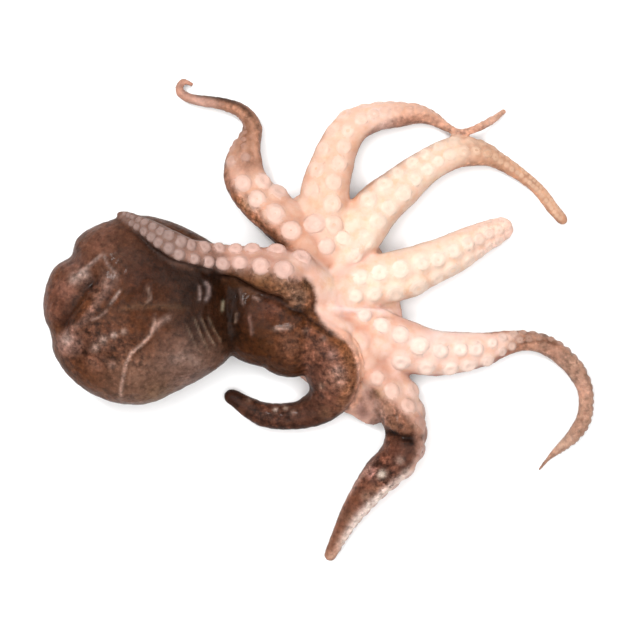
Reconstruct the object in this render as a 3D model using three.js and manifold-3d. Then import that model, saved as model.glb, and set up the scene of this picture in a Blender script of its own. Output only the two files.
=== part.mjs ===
// A whole raw baby octopus as it lies on a table, seen from above: the mantle (the bag of the body) on the
// left, the head as a thick neck, and eight arms. Six arms fan out with their suckers up, one is folded back
// over the head, and one curls round with its skin side up. It is one piece of flesh, so it is one solid.
// Millimetres, +X from the mantle to the arms, +Z up, z = 0 is the table.

import * as THREE from "three";
import { mergeVertices } from "three/addons/utils/BufferGeometryUtils.js";
import Module from "manifold-3d";

const wasm = await Module();
wasm.setup();

// Driving sizes.
const mantle = {
  centre: [-40.0, 1.9],
  radius: 20.8,
  middle: 7.2, // height of its widest level
  top: 18,
  bottom: -0.9, // where the bag would end if the table did not flatten it
  fullness: 0.86, // below 1 the bag is plumper than an ellipsoid
};
const mouth = { at: [4.5, 6.5, 3.2], halfSize: [9.5, 11.5, 6.5] };
const eye = { at: [-25.8, 6.4, 13.0], halfSize: [1.3, 2.6, 1.5] };
// Shares of an arm's width and height, and how far apart its rings are.
const arm = { thickness: 0.8, oralShare: 0.42, sink: 0.1, ringStep: 0.5, sides: 10 };
const sucker = { share: 0.36, pitch: 1.12, rowAngle: 58, smallest: 2.45, sides: 6, first: 7 };
const webHeight = 4.5;
const colour = { skin: "#d9a48e" };

// Each limb is a route through points of [x, y, width, lift, roll]: lift is how high its underside is held
// above the table, and roll is the way its suckers face, 0 straight up and 90 to the right of its travel.
// The head is a limb without suckers, from inside the mantle to the mouth.
const limbs = {
  head: {
    thickness: 0.66,
    ringStep: 0.26,
    sides: 14,
    suckers: false,
    route: [
      [-28.0, 2.6, 15.0, 1, 180],
      [-21.5, 2.8, 17.0, 0.5, 180],
      [-17.8, 2.6, 20.2, 0, 180],
      [-13.4, 1.2, 22.4, 0, 180],
      [-8.7, -0.1, 22.4, 0, 180],
      [-4.6, -1.8, 23.0, 0.3, 180],
      [-1.0, -2.4, 18.5, 0.6, 180],
    ],
  },
  upperLeftArm: {
    route: [
      [1.4, 11.5, 7.8, 3.5, 5],
      [-4.2, 18.4, 10.2, 2, 20],
      [-9.4, 23.1, 10.6, 0.8, 32],
      [-14.0, 27.0, 10.0, 0, 30],
      [-16.8, 31.5, 9.2, 0, 8],
      [-17.0, 35.9, 8.3, 0, -25],
      [-16.1, 39.6, 6.2, 0, -55],
      [-15.4, 42.8, 5.2, 0, -80],
      [-17.5, 46.0, 4.1, 0, -95],
      [-21.6, 47.6, 3.7, 0, -100],
      [-25.8, 48.3, 3.2, 0, -100],
      [-29.2, 49.0, 2.8, 0, -90],
      [-31.7, 50.8, 2.3, 0, -80],
      [-30.8, 53.1, 1.8, 0.3, -70],
      [-28.8, 52.4, 1.4, 0.6, -60],
    ],
  },
  foldedBackArm: {
    firstSucker: 13,
    route: [
      [6.2, 3.4, 8.2, 1.6, 5],
      [0.9, 5.5, 10.1, 4.4, 20],
      [-4.6, 8.7, 12.0, 6, 40],
      [-10.1, 10.3, 12.0, 6, 46],
      [-16.1, 11.5, 10.1, 6.5, 44],
      [-22.1, 12.7, 8.3, 8, 36],
      [-28.1, 14.0, 7.1, 11.5, 25],
      [-32.2, 16.1, 6.4, 13, 15],
      [-35.9, 18.4, 5.3, 12.5, 8],
      [-39.1, 20.5, 3.9, 11.5, 5],
      [-41.9, 22.1, 2.8, 10, 0],
      [-43.7, 22.8, 1.8, 9.2, 0],
    ],
  },
  topArm: {
    route: [
      [2.8, 12.9, 8.3, 3, 0],
      [0.9, 20.7, 10.6, 1.5, -5],
      [0.9, 27.6, 11.0, 0.3, -8],
      [2.3, 33.6, 9.9, 0, -12],
      [4.4, 39.1, 8.7, 0, -20],
      [7.4, 43.0, 8.3, 0, -35],
      [12.0, 44.9, 7.1, 0, -45],
      [16.6, 45.5, 6.4, 0, -50],
      [21.2, 45.8, 5.3, 0, -60],
      [24.8, 44.9, 3.9, 0, -75],
      [28.1, 42.8, 2.5, 0.6, -90],
      [31.3, 41.6, 1.9, 2, -100],
      [35.0, 42.6, 2.1, 2.2, -100],
      [38.2, 44.4, 2.3, 1, -80],
      [40.7, 46.3, 1.8, 0.2, -60],
    ],
  },
  upperRightArm: {
    route: [
      [4.6, 11.5, 8.3, 3, 0],
      [8.3, 18.4, 10.6, 1.2, -5],
      [12.0, 24.2, 10.6, 0.3, -8],
      [17.9, 29.4, 9.4, 0, -12],
      [23.9, 34.3, 7.8, 0, -20],
      [29.9, 37.0, 7.6, 0, -30],
      [35.9, 36.8, 6.0, 0, -35],
      [40.2, 35.0, 3.9, 0, -30],
      [44.9, 32.0, 3.2, 0, -20],
      [48.8, 28.6, 2.9, 0, -10],
      [52.0, 24.4, 2.9, 0, -10],
      [53.9, 22.2, 2.6, 0, -10],
    ],
  },
  shortArm: {
    route: [
      [3.7, 6.4, 8.3, 3, 0],
      [11.5, 8.3, 11.0, 1, 10],
      [18.9, 10.1, 11.5, 0, 22],
      [24.6, 12.4, 10.1, 0, 28],
      [29.9, 14.7, 9.4, 0, 30],
      [34.5, 17.2, 7.8, 0, 30],
      [38.4, 19.1, 6.6, 0, 30],
      [40.0, 19.8, 5.8, 0, 30],
    ],
  },
  rightArm: {
    route: [
      [3.7, 1.8, 8.3, 3, 0],
      [11.5, -2.3, 10.1, 1, 8],
      [18.9, -6.0, 11.5, 0, 18],
      [25.3, -7.6, 10.6, 0, 24],
      [31.3, -7.4, 9.4, 0, 26],
      [36.3, -6.7, 7.8, 0, 22],
      [40.9, -5.3, 5.8, 0, 0],
      [45.1, -4.7, 4.9, 0, -45],
      [49.2, -5.2, 5.0, 0, -75],
      [53.1, -7.4, 5.1, 0, -95],
      [56.6, -11.0, 4.8, 0, -105],
      [58.7, -14.7, 4.1, 0, -105],
      [59.2, -18.9, 3.9, 0, -95],
      [58.4, -23.0, 3.9, 0, -90],
      [55.9, -26.5, 3.5, 0, -90],
      [52.7, -29.4, 2.3, 0, -90],
      [50.6, -31.5, 1.4, 0, -90],
      [48.8, -33.6, 1.0, 0, -90],
    ],
  },
  bottomArm: {
    route: [
      [5.5, 0.0, 8.7, 3, -5],
      [10.1, -6.4, 9.7, 1.2, -15],
      [14.3, -12.9, 9.7, 0.3, -25],
      [17.5, -18.9, 10.4, 0, -40],
      [19.3, -25.1, 10.9, 0, -80],
      [17.5, -30.6, 10.2, 0, -105],
      [13.3, -34.7, 8.9, 0, -115],
      [9.4, -39.6, 6.9, 0, -120],
      [6.4, -44.2, 5.2, 0, -120],
      [3.9, -48.8, 3.9, 0, -120],
      [2.3, -52.4, 3.2, 0, -120],
    ],
  },
  curledArm: {
    route: [
      [-5.5, -0.5, 10.1, 6, -170],
      [-0.5, -4.6, 12.0, 4, -150],
      [2.6, -9.4, 13.0, 2, -140],
      [2.9, -14.8, 12.7, 0.5, -135],
      [0.6, -18.9, 9.2, 0, -140],
      [-4.1, -21.2, 6.9, 0, -150],
      [-8.7, -21.6, 6.2, 0, -155],
      [-12.9, -21.2, 5.5, 0, -160],
      [-16.1, -19.6, 4.8, 0, -160],
      [-18.6, -17.9, 3.9, 0, -160],
      [-19.8, -17.3, 3.5, 0, -160],
    ],
  },
};

const up = new THREE.Vector3(0, 0, 1);
const radians = THREE.MathUtils.degToRad;

// The section and frame of a limb at share t of its route: centre, travel, the way the suckers face (oral) and
// the way across the arm (lateral), its width, and its half heights to the sucker side and to the skin side.
function sectionAt(limb, t) {
  const flat = limb.flatCurve.getPoint(t);
  const { x: width, y: lift, z: rollDegrees } = limb.traitCurve.getPoint(t);
  const roll = radians(rollDegrees);
  const thickness = width * (limb.thickness ?? arm.thickness);
  const oralHalf = thickness * arm.oralShare;
  const skinHalf = thickness * (1 - arm.oralShare);
  const below = Math.cos(roll) > 0 ? skinHalf : oralHalf;
  const drop = Math.hypot((Math.sin(roll) * width) / 2, Math.cos(roll) * below);
  const centre = new THREE.Vector3(flat.x, flat.y, lift + (1 - arm.sink) * drop);
  const travel = limb.flatCurve.getTangent(t).setZ(0).normalize();
  const side = new THREE.Vector3().crossVectors(travel, up);
  const oral = up.clone().multiplyScalar(Math.cos(roll)).addScaledVector(side, Math.sin(roll));
  const lateral = new THREE.Vector3().crossVectors(travel, oral);
  return { centre, travel, oral, lateral, width, oralHalf, skinHalf };
}

// The point of a section's outline at an angle from the lateral axis towards the suckers, drawn in by shrink.
function outlinePoint(section, angle, shrink = 1, forward = 0) {
  const rise = Math.sin(angle);
  const half = rise > 0 ? section.oralHalf : section.skinHalf;
  return section.centre
    .clone()
    .addScaledVector(section.lateral, (Math.cos(angle) * section.width * shrink) / 2)
    .addScaledVector(section.oral, rise * half * shrink)
    .addScaledVector(section.travel, forward);
}

function addCurves(limb) {
  const points = limb.route.map(([x, y]) => new THREE.Vector3(x, y, 0));
  const traits = limb.route.map(([, , width, lift, roll]) => new THREE.Vector3(width, lift, roll));
  limb.flatCurve = new THREE.CatmullRomCurve3(points, false, "catmullrom", 0.5);
  limb.traitCurve = new THREE.CatmullRomCurve3(traits, false, "catmullrom", 0.5);
}

// The shares of a limb's route that lie one local step apart, where stepOf gives the step for a width.
function stations(limb, stepOf, start = 0) {
  const samples = limb.flatCurve.getPoints(400);
  const found = [];
  let walked = 0;
  let next = start;
  samples.forEach((sample, i) => {
    if (i > 0) walked += sample.distanceTo(samples[i - 1]);
    if (walked < next) return;
    const t = i / (samples.length - 1);
    found.push(t);
    next = walked + stepOf(sectionAt(limb, t).width);
  });
  return found;
}

// A closed tube of rings, with a flat root and a round tip.
function limbGeometry(limb) {
  const { ringStep, sides } = { ...arm, ...limb };
  const shares = stations(limb, (width) => Math.max(1.4, width * ringStep));
  if (1 - shares.at(-1) < 0.03) shares.pop();
  shares.push(1);
  const rings = shares.map((t) => ({ section: sectionAt(limb, t), shrink: 1, forward: 0 }));
  const tip = rings.at(-1).section;
  const tipRadius = tip.width / 2;
  for (const bend of [35, 63].map(radians)) {
    rings.push({ section: tip, shrink: Math.cos(bend), forward: Math.sin(bend) * tipRadius });
  }
  const positions = rings.flatMap(({ section, shrink, forward }) =>
    Array.from({ length: sides }, (_, k) =>
      outlinePoint(section, (k / sides) * Math.PI * 2, shrink, forward).toArray(),
    ).flat(),
  );
  const root = rings.length * sides;
  const end = root + 1;
  positions.push(...rings[0].section.centre);
  positions.push(...tip.centre.clone().addScaledVector(tip.travel, tipRadius));

  const index = [];
  for (let r = 0; r < rings.length - 1; r++) {
    for (let k = 0; k < sides; k++) {
      const a = r * sides + k;
      const b = r * sides + ((k + 1) % sides);
      index.push(a, a + sides, b, b, a + sides, b + sides);
    }
  }
  const last = root - sides;
  for (let k = 0; k < sides; k++) {
    const next = (k + 1) % sides;
    index.push(root, k, next, end, last + next, last + k);
  }
  const geometry = new THREE.BufferGeometry();
  geometry.setAttribute("position", new THREE.Float32BufferAttribute(positions, 3));
  geometry.setIndex(index);
  return geometry;
}

// A sucker: a low round cup with a sunk middle, its axis along +Y, its foot inside the arm.
function suckerGeometry(diameter) {
  const profile = [
    [0, -0.5],
    [0.98, 0.1],
    [0.66, 0.58],
    [0, 0.3],
  ].map(([r, h]) => new THREE.Vector2(r, h).multiplyScalar(diameter / 2));
  return new THREE.LatheGeometry(profile, sucker.sides);
}

// Suckers stand in two rows that alternate. Those that would be pressed between the arm and the table, or that
// are too small for their shape to count, are left off.
function suckersOf(limb) {
  const rowAngle = radians(sucker.rowAngle);
  const pieces = [];
  const step = (width) => Math.max(0.5, (width * sucker.share * sucker.pitch) / 2);
  stations(limb, step, limb.firstSucker ?? sucker.first).forEach((t, i) => {
    const section = sectionAt(limb, t);
    const diameter = section.width * sucker.share;
    const angle = i % 2 ? rowAngle : Math.PI - rowAngle;
    const place = outlinePoint(section, angle);
    const facing = outlinePoint(section, angle, 1.3).sub(place).normalize();
    const pressed = place.z < diameter * 0.3 || facing.z < -0.35;
    if (diameter < sucker.smallest || pressed) return;
    const turn = new THREE.Quaternion().setFromUnitVectors(new THREE.Vector3(0, 1, 0), facing);
    pieces.push(suckerGeometry(diameter).applyQuaternion(turn).translate(...place));
  });
  return pieces;
}

// A groove or ridge along a line of [x, y] points: its height at a place falls off with distance from the line.
const mantleFolds = [
  { height: -1.5, width: 2.4, line: [[-59.5, -3.5], [-55.5, 4.0], [-51.5, 10.5], [-48.5, 14.5]] },
  { height: 0.7, width: 2.0, line: [[-35.5, 1.0], [-38.5, -5.0], [-43.0, -10.5], [-44.5, -17.5]] },
];

function foldHeight(x, y) {
  const place = new THREE.Vector3(x, y, 0);
  const nearest = new THREE.Vector3();
  let sum = 0;
  for (const { height, width, line } of mantleFolds) {
    let distance = Infinity;
    for (let i = 0; i < line.length - 1; i++) {
      const stretch = new THREE.Line3(new THREE.Vector3(...line[i], 0), new THREE.Vector3(...line[i + 1], 0));
      stretch.closestPointToPoint(place, true, nearest);
      distance = Math.min(distance, nearest.distanceTo(place));
    }
    sum += height * Math.exp(-((distance / width) ** 2));
  }
  return sum;
}

// How far the mantle's outline reaches from its centre, as a share of its radius: shoulders towards the neck,
// and shallow notches where the bag is creased. Each is [angle, half width, height], angles in degrees.
const outlineBumps = [
  [32, 17, 0.09],
  [-26, 13, 0.08],
  [141, 7, -0.1],
  [-165, 8, -0.05],
  [-62, 17, -0.06],
];

function mantleReach(angle) {
  return outlineBumps.reduce((reach, [at, halfWidth, height]) => {
    const turn = angle - radians(at);
    const off = Math.atan2(Math.sin(turn), Math.cos(turn));
    return reach + height * Math.exp(-((off / radians(halfWidth)) ** 2));
  }, 1);
}

function mantleGeometry() {
  const geometry = new THREE.SphereGeometry(1, 34, 18).rotateX(Math.PI / 2);
  const place = geometry.getAttribute("position");
  const v = new THREE.Vector3();
  for (let i = 0; i < place.count; i++) {
    v.fromBufferAttribute(place, i);
    const level = Math.min(Math.hypot(v.x, v.y), 1);
    const angle = Math.atan2(v.y, v.x);
    const reach = mantle.radius * mantleReach(angle) * level ** mantle.fullness;
    const x = mantle.centre[0] + reach * Math.cos(angle);
    const y = mantle.centre[1] + reach * Math.sin(angle);
    const rise = Math.abs(v.z) ** mantle.fullness;
    const end = v.z > 0 ? mantle.top : mantle.bottom;
    const fold = v.z > 0 ? foldHeight(x, y) * Math.min(1, v.z * 2.5) : 0;
    place.setXYZ(i, x, y, mantle.middle + (end - mantle.middle) * rise + fold);
  }
  return geometry;
}

function ball({ at, halfSize }, around, over) {
  return new THREE.SphereGeometry(1, around, over).rotateX(Math.PI / 2).scale(...halfSize).translate(...at);
}

// The web of skin that joins the arms near their roots: a thin lens whose rim runs through the corners between
// neighbouring arms and passes under the head.
const webRim = [
  [18.0, 2.5],
  [13.4, 15.4],
  [5.0, 26.6],
  [-5.5, 27.6],
  [-10.0, 17.0],
  [-12.0, 6.0],
  [-9.0, -8.0],
  [1.0, -17.0],
  [12.2, -23.8],
  [18.6, -12.5],
];
function webGeometry() {
  const centre = new THREE.Vector3(mouth.at[0], 3, 0);
  const rim = new THREE.CatmullRomCurve3(webRim.map(([x, y]) => new THREE.Vector3(x, y, 0)), true);
  const geometry = new THREE.SphereGeometry(1, 30, 8).rotateX(Math.PI / 2);
  const place = geometry.getAttribute("position");
  for (let i = 0; i < place.count; i++) {
    const v = new THREE.Vector3().fromBufferAttribute(place, i);
    const level = Math.min(Math.hypot(v.x, v.y), 1);
    const share = (Math.atan2(v.y, v.x) / (2 * Math.PI) + 1) % 1;
    const edge = rim.getPoint(share).sub(centre).multiplyScalar(level).add(centre);
    place.setXYZ(i, edge.x, edge.y, webHeight * (0.5 + 0.7 * v.z));
  }
  return geometry;
}

function solidFrom(geometry) {
  const bare = geometry.clone();
  bare.deleteAttribute("normal");
  bare.deleteAttribute("uv");
  const merged = mergeVertices(bare, 1e-4);
  return new wasm.Manifold(
    new wasm.Mesh({
      numProp: 3,
      vertProperties: new Float32Array(merged.getAttribute("position").array),
      triVerts: new Uint32Array(merged.index.array),
    }),
  );
}

function geometryFrom(solid) {
  const { numProp, vertProperties, triVerts } = solid.getMesh();
  const positions = new Float32Array((vertProperties.length / numProp) * 3);
  for (let i = 0; i < positions.length / 3; i++) {
    positions.set(vertProperties.subarray(i * numProp, i * numProp + 3), i * 3);
  }
  const geometry = new THREE.BufferGeometry();
  geometry.setAttribute("position", new THREE.BufferAttribute(positions, 3));
  geometry.setIndex(new THREE.BufferAttribute(new Uint32Array(triVerts), 1));
  geometry.computeVertexNormals();
  return geometry;
}

const flesh = [mantleGeometry(), webGeometry(), ball(mouth, 16, 10), ball(eye, 8, 6)];
for (const limb of Object.values(limbs)) {
  addCurves(limb);
  flesh.push(limbGeometry(limb));
  if (limb.suckers !== false) flesh.push(...suckersOf(limb));
}

const underTable = new THREE.BoxGeometry(200, 200, 20).translate(0, 0, -10);
const body = wasm.Manifold.union(flesh.map(solidFrom)).subtract(solidFrom(underTable));

const skin = new THREE.MeshStandardMaterial({ color: colour.skin, roughness: 0.4, metalness: 0 });
const octopus = new THREE.Mesh(geometryFrom(body), skin);
octopus.name = "octopus";

const part = new THREE.Group();
part.add(octopus);

export default part;
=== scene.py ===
import math
import random

import bmesh
import bpy
import numpy as np
from mathutils import Matrix, Vector, noise
from mathutils.bvhtree import BVHTree


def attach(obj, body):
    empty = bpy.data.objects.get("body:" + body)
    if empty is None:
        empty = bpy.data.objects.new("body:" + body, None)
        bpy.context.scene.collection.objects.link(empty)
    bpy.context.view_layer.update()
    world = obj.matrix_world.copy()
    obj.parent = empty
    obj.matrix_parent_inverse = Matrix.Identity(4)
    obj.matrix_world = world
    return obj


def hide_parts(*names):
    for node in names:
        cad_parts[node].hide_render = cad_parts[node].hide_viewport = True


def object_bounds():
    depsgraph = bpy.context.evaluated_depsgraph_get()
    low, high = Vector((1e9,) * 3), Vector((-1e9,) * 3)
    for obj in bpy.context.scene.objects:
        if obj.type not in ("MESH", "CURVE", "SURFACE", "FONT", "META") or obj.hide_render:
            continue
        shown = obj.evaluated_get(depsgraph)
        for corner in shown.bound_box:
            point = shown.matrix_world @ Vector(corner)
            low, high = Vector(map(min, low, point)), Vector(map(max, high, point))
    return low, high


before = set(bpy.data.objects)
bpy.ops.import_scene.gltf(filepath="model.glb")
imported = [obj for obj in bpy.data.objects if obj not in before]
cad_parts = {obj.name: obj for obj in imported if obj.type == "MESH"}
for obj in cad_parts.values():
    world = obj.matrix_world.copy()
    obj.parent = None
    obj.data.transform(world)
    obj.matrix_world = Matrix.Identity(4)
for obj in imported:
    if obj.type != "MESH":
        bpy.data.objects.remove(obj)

# A whole raw baby octopus lying on a table: one skin with all its folds, and the suckers that stand on it.
# Shapes are worked out in millimetres and put into the mesh in metres.

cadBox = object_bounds()
mm = 0.001
print("frame loaded, the solid is", [round((b - a) / mm, 1) for a, b in zip(*cadBox)], "mm")


# a colour written as sRGB hex, as linear red, green and blue
def linear(hexColour):
    parts = [int(hexColour[i:i + 2], 16) / 255 for i in (1, 3, 5)]
    return np.array([c / 12.92 if c <= 0.04045 else ((c + 0.055) / 1.055) ** 2.4 for c in parts])


# The limbs, as in the solid. Each route is points of [x, y, width, lift, roll]: lift is how high the
# underside is held above the table, and roll is the way the suckers face, 0 straight up and 90 to the right
# of travel. Flesh is the colour between the suckers, skin that of the other side, and tip that of the thin
# end, from the share tipFrom of the length on. Root is the colour by the mouth and tipUnder that of the
# end's underside, where they differ. Brown has stations of [share of length, left, right]: how far the skin
# colour comes up each flank, -1 at the middle of the underside and 1 right under the suckers. Suckers are
# their colours at the root and at the tip, and the shares of length between which the one turns into the
# other. Cup has stations of [share of length, a sucker's diameter as a share of the arm's width]. Pitch is
# how far apart those of one row stand, in diameters, at the root and at the tip. Bead is how high they
# stand, against the usual ones. Shift has stations of [share of length, degrees]: how far round the arm the
# rows lie from their usual place. FirstSucker is how far from the root they start.
limbShape = {
    "thickness": 0.8, "oralShare": 0.42,  # thickness against width, and how much of it is on the suckers' side
    "sink": 0.1,  # share of the depth under its middle that is pressed flat on the table
    "spacing": 0.5, "fine": 600,  # between sections, and the points of the curve they are taken from
    "around": 28, "tipAngles": (0.5, 0.9, 1.25),  # sides of a ring, and where the rings of the round tip lie
    "endFade": 2.0,  # past its ends, the millimetres for each 1 of rho
}
limbs = {
    "head": {
        "thickness": 0.66,
        "flesh": "#46240f", "skin": "#46240f", "tip": "#46240f", "tipFrom": 2, "brown": [(0, 2, 2)],
        "route": [
            (-28.0, 2.6, 15.0, 1, 180), (-21.5, 2.8, 17.0, 0.5, 180), (-17.8, 2.6, 20.2, 0, 180),
            (-13.4, 1.2, 22.4, 0, 180), (-8.7, -0.1, 22.4, 0, 180), (-4.6, -1.8, 23.0, 0.3, 180),
            (-1.0, -2.4, 18.5, 0.6, 180),
        ],
    },
    "upperLeftArm": {
        "root": "#c68b70", "flesh": "#d9a890", "skin": "#88583f", "tip": "#a3765f", "tipFrom": 0.49,
        "brown": [
            (0, 0.6, -0.2), (0.1, 0.8, -0.2), (0.32, 0.6, 0), (0.42, 0.8, 0.1), (0.6, 0.8, 0.2),
            (0.68, 0.8, 0.6),
        ],
        "suckers": ("#edc9ba", "#b88c7a", 0.42, 0.56), "pitch": (1.1, 1.0), "bead": 1.4,
        "cup": [(0, 0.48), (0.44, 0.44), (0.5, 0.28), (0.6, 0.2), (1, 0.2)],
        "route": [
            (1.4, 11.5, 7.8, 3.5, 5), (-4.2, 18.4, 10.2, 2, 20), (-9.4, 23.1, 10.6, 0.8, 32),
            (-14.0, 27.0, 10.0, 0, 30), (-16.8, 31.5, 9.2, 0, 8), (-17.0, 35.9, 8.3, 0, -25),
            (-16.1, 39.6, 6.2, 0, -55), (-15.4, 42.8, 5.2, 0, -80), (-17.5, 46.0, 4.1, 0, -95),
            (-21.6, 47.6, 3.7, 0, -100), (-25.8, 48.3, 3.2, 0, -100), (-29.2, 49.0, 2.8, 0, -90),
            (-31.7, 50.8, 2.3, 0, -80), (-30.8, 53.1, 1.8, 0.3, -70), (-28.8, 52.4, 1.4, 0.6, -60),
        ],
    },
    "foldedBackArm": {
        "root": "#f4d4c6", "flesh": "#bd8d7b", "skin": "#66412b", "tip": "#73554a", "tipFrom": 0.64,
        "brown": [
            (0, -0.9, -0.9), (0.14, -0.9, -0.9), (0.2, 0.9, 0), (0.55, 0.9, 0), (0.66, 0.5, 0), (0.73, 0, 0),
        ],
        "suckers": ("#e9c0b2", "#a58a81", 0.46, 0.8),
        "cup": [(0, 0.37), (0.5, 0.37), (0.62, 0.41), (1, 0.44)],
        "firstSucker": 13.4, "pitch": (1.2, 0.85), "bead": 1.9, "shift": [(0.4, 0), (0.6, 8), (1, 2)],
        "route": [
            (6.2, 3.4, 8.2, 1.6, 5), (0.9, 5.5, 10.1, 4.4, 20), (-4.6, 8.7, 12.0, 6, 40),
            (-10.1, 10.3, 12.0, 6, 46), (-16.1, 11.5, 10.1, 6.5, 44), (-22.1, 12.7, 8.3, 8, 36),
            (-28.1, 14.0, 7.1, 11.5, 25), (-32.2, 16.1, 6.4, 13, 15), (-35.9, 18.4, 5.3, 12.5, 8),
            (-39.1, 20.5, 3.9, 11.5, 5), (-41.9, 22.1, 2.8, 10, 0), (-43.7, 22.8, 1.8, 9.2, 0),
        ],
    },
    "topArm": {
        "flesh": "#ecbfa9", "skin": "#b17e68", "tip": "#d6a58c", "tipFrom": 0.66,
        "brown": [(0, -0.9, -0.9), (0.15, -0.9, -0.9), (0.25, 0.25, -0.1), (0.5, 0.2, 0), (0.6, 0.1, 0.6)],
        "suckers": ("#f2ccb8", "#d6a58e", 0.5, 0.7), "cup": [(0, 0.4), (1, 0.36)],
        "route": [
            (2.8, 12.9, 8.3, 3, 0), (0.9, 20.7, 10.6, 1.5, -5), (0.9, 27.6, 11.0, 0.3, -8),
            (2.3, 33.6, 9.9, 0, -12), (4.4, 39.1, 8.7, 0, -20), (7.4, 43.0, 8.3, 0, -35),
            (12.0, 44.9, 7.1, 0, -45), (16.6, 45.5, 6.4, 0, -50), (21.2, 45.8, 5.3, 0, -60),
            (24.8, 44.9, 3.9, 0, -75), (28.1, 42.8, 2.5, 0.6, -90), (31.3, 41.6, 1.9, 2, -100),
            (35.0, 42.6, 2.1, 2.2, -100), (38.2, 44.4, 2.3, 1, -80), (40.7, 46.3, 1.8, 0.2, -60),
        ],
    },
    "upperRightArm": {
        "flesh": "#f3d0bc", "skin": "#b98568", "tip": "#c7967a", "tipFrom": 0.56,
        "brown": [(0, -0.9, -0.9), (0.12, -0.9, -0.9), (0.22, 0.2, -0.1), (0.5, 0.25, 0), (0.62, 0.6, 0.35)],
        "suckers": ("#f7ddc9", "#e0b799", 0.5, 0.7), "cup": [(0, 0.4), (1, 0.36)],
        "route": [
            (4.6, 11.5, 8.3, 3, 0), (8.3, 18.4, 10.6, 1.2, -5), (12.0, 24.2, 10.6, 0.3, -8),
            (17.9, 29.4, 9.4, 0, -12), (23.9, 34.3, 7.8, 0, -20), (29.9, 37.0, 7.6, 0, -30),
            (35.9, 36.8, 6.0, 0, -35), (40.2, 35.0, 3.9, 0, -30), (44.9, 32.0, 3.2, 0, -20),
            (48.8, 28.6, 2.9, 0, -10), (52.0, 24.4, 2.9, 0, -10), (53.9, 22.2, 2.6, 0, -10),
        ],
    },
    "shortArm": {
        "flesh": "#f7d6c2", "skin": "#e8c0ae", "tip": "#f5cdbc", "tipFrom": 0.78,
        "brown": [(0, -0.9, -0.9), (0.25, -0.9, -0.9), (0.4, -0.2, 0.1)],
        "suckers": ("#fae0cd", "#f8d9c7", 0.6, 0.9), "cup": [(0, 0.38), (1, 0.34)],
        "route": [
            (3.7, 6.4, 8.3, 3, 0), (11.5, 8.3, 11.0, 1, 10), (18.9, 10.1, 11.5, 0, 22),
            (24.6, 12.4, 10.1, 0, 28), (29.9, 14.7, 9.4, 0, 30), (34.5, 17.2, 7.8, 0, 30),
            (38.4, 19.1, 6.6, 0, 30), (40.0, 19.8, 5.8, 0, 30),
        ],
    },
    "rightArm": {
        "root": "#e7b5a2", "flesh": "#f2cabb", "skin": "#966650", "tip": "#ae8b77", "tipFrom": 0.5,
        "brown": [
            (0, -0.9, -0.9), (0.12, -0.9, -0.9), (0.18, -0.3, 0.35), (0.4, -0.1, 0.4), (0.47, 0.8, 1.2),
            (0.54, 1.3, 1.5), (0.62, 1.0, 1.0), (0.7, 0.8, 0.8),
        ],
        "suckers": ("#f8dccd", "#b78d79", 0.44, 0.56), "cup": [(0, 0.4), (1, 0.34)],
        "pitch": (1.18, 1.05), "bead": 1.6,
        "route": [
            (3.7, 1.8, 8.3, 3, 0), (11.5, -2.3, 10.1, 1, 8), (18.9, -6.0, 11.5, 0, 18),
            (25.3, -7.6, 10.6, 0, 24), (31.3, -7.4, 9.4, 0, 26), (36.3, -6.7, 7.8, 0, 22),
            (40.9, -5.3, 5.8, 0, 0), (45.1, -4.7, 4.9, 0, -45), (49.2, -5.2, 5.0, 0, -75),
            (53.1, -7.4, 5.1, 0, -95), (56.6, -11.0, 4.8, 0, -105), (58.7, -14.7, 4.1, 0, -105),
            (59.2, -18.9, 3.9, 0, -95), (58.4, -23.0, 3.9, 0, -90), (55.9, -26.5, 3.5, 0, -90),
            (52.7, -29.4, 2.3, 0, -90), (50.6, -31.5, 1.4, 0, -90), (48.8, -33.6, 1.0, 0, -90),
        ],
    },
    "bottomArm": {
        "root": "#d69e8a", "flesh": "#c99784", "skin": "#6a4131", "tip": "#8a5c45", "tipFrom": 0.85,
        "brown": [
            (0, -0.9, -0.9), (0.17, -0.9, 0.1), (0.26, -0.7, 0.5), (0.34, 0, 0.8), (0.42, 0.4, 0.9),
            (0.5, 0.6, 0.6), (0.75, 0.7, 0.6),
        ],
        "suckers": ("#ecc5b4", "#c09585", 0.38, 0.48), "cup": [(0, 0.4), (1, 0.36)],
        "firstSucker": 6.3, "bead": 1.4,
        "shift": [(0, 0), (0.15, -8), (0.3, -8), (0.38, 12), (0.45, 20), (0.55, -8), (1, -24)],
        "route": [
            (5.5, 0.0, 8.7, 3, -5), (10.1, -6.4, 9.7, 1.2, -15), (14.3, -12.9, 9.7, 0.3, -25),
            (17.5, -18.9, 10.4, 0, -40), (19.3, -25.1, 10.9, 0, -80), (17.5, -30.6, 10.2, 0, -105),
            (13.3, -34.7, 8.9, 0, -115), (9.4, -39.6, 6.9, 0, -120), (6.4, -44.2, 5.2, 0, -120),
            (3.9, -48.8, 3.9, 0, -120), (2.3, -52.4, 3.2, 0, -120),
        ],
    },
    "curledArm": {
        "flesh": "#b5836d", "skin": "#784b3a", "tip": "#180c06", "tipUnder": "#8f6656", "tipFrom": 0.4,
        "brown": [(0, 0.2, 0.2)],
        "suckers": ("#d5a994", "#8a6455", 0.2, 0.6), "cup": [(0, 0.3), (1, 0.3)],
        "route": [
            (-5.5, -0.5, 10.1, 6, -170), (-0.5, -4.6, 12.0, 4, -150), (2.6, -9.4, 13.0, 2, -140),
            (2.9, -14.8, 12.7, 0.5, -135), (0.6, -18.9, 9.2, 0, -140), (-4.1, -21.2, 6.9, 0, -150),
            (-8.7, -21.6, 6.2, 0, -155), (-12.9, -21.2, 5.5, 0, -160), (-16.1, -19.6, 4.8, 0, -160),
            (-18.6, -17.9, 3.9, 0, -160), (-19.8, -17.3, 3.5, 0, -160),
        ],
    },
}


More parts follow.
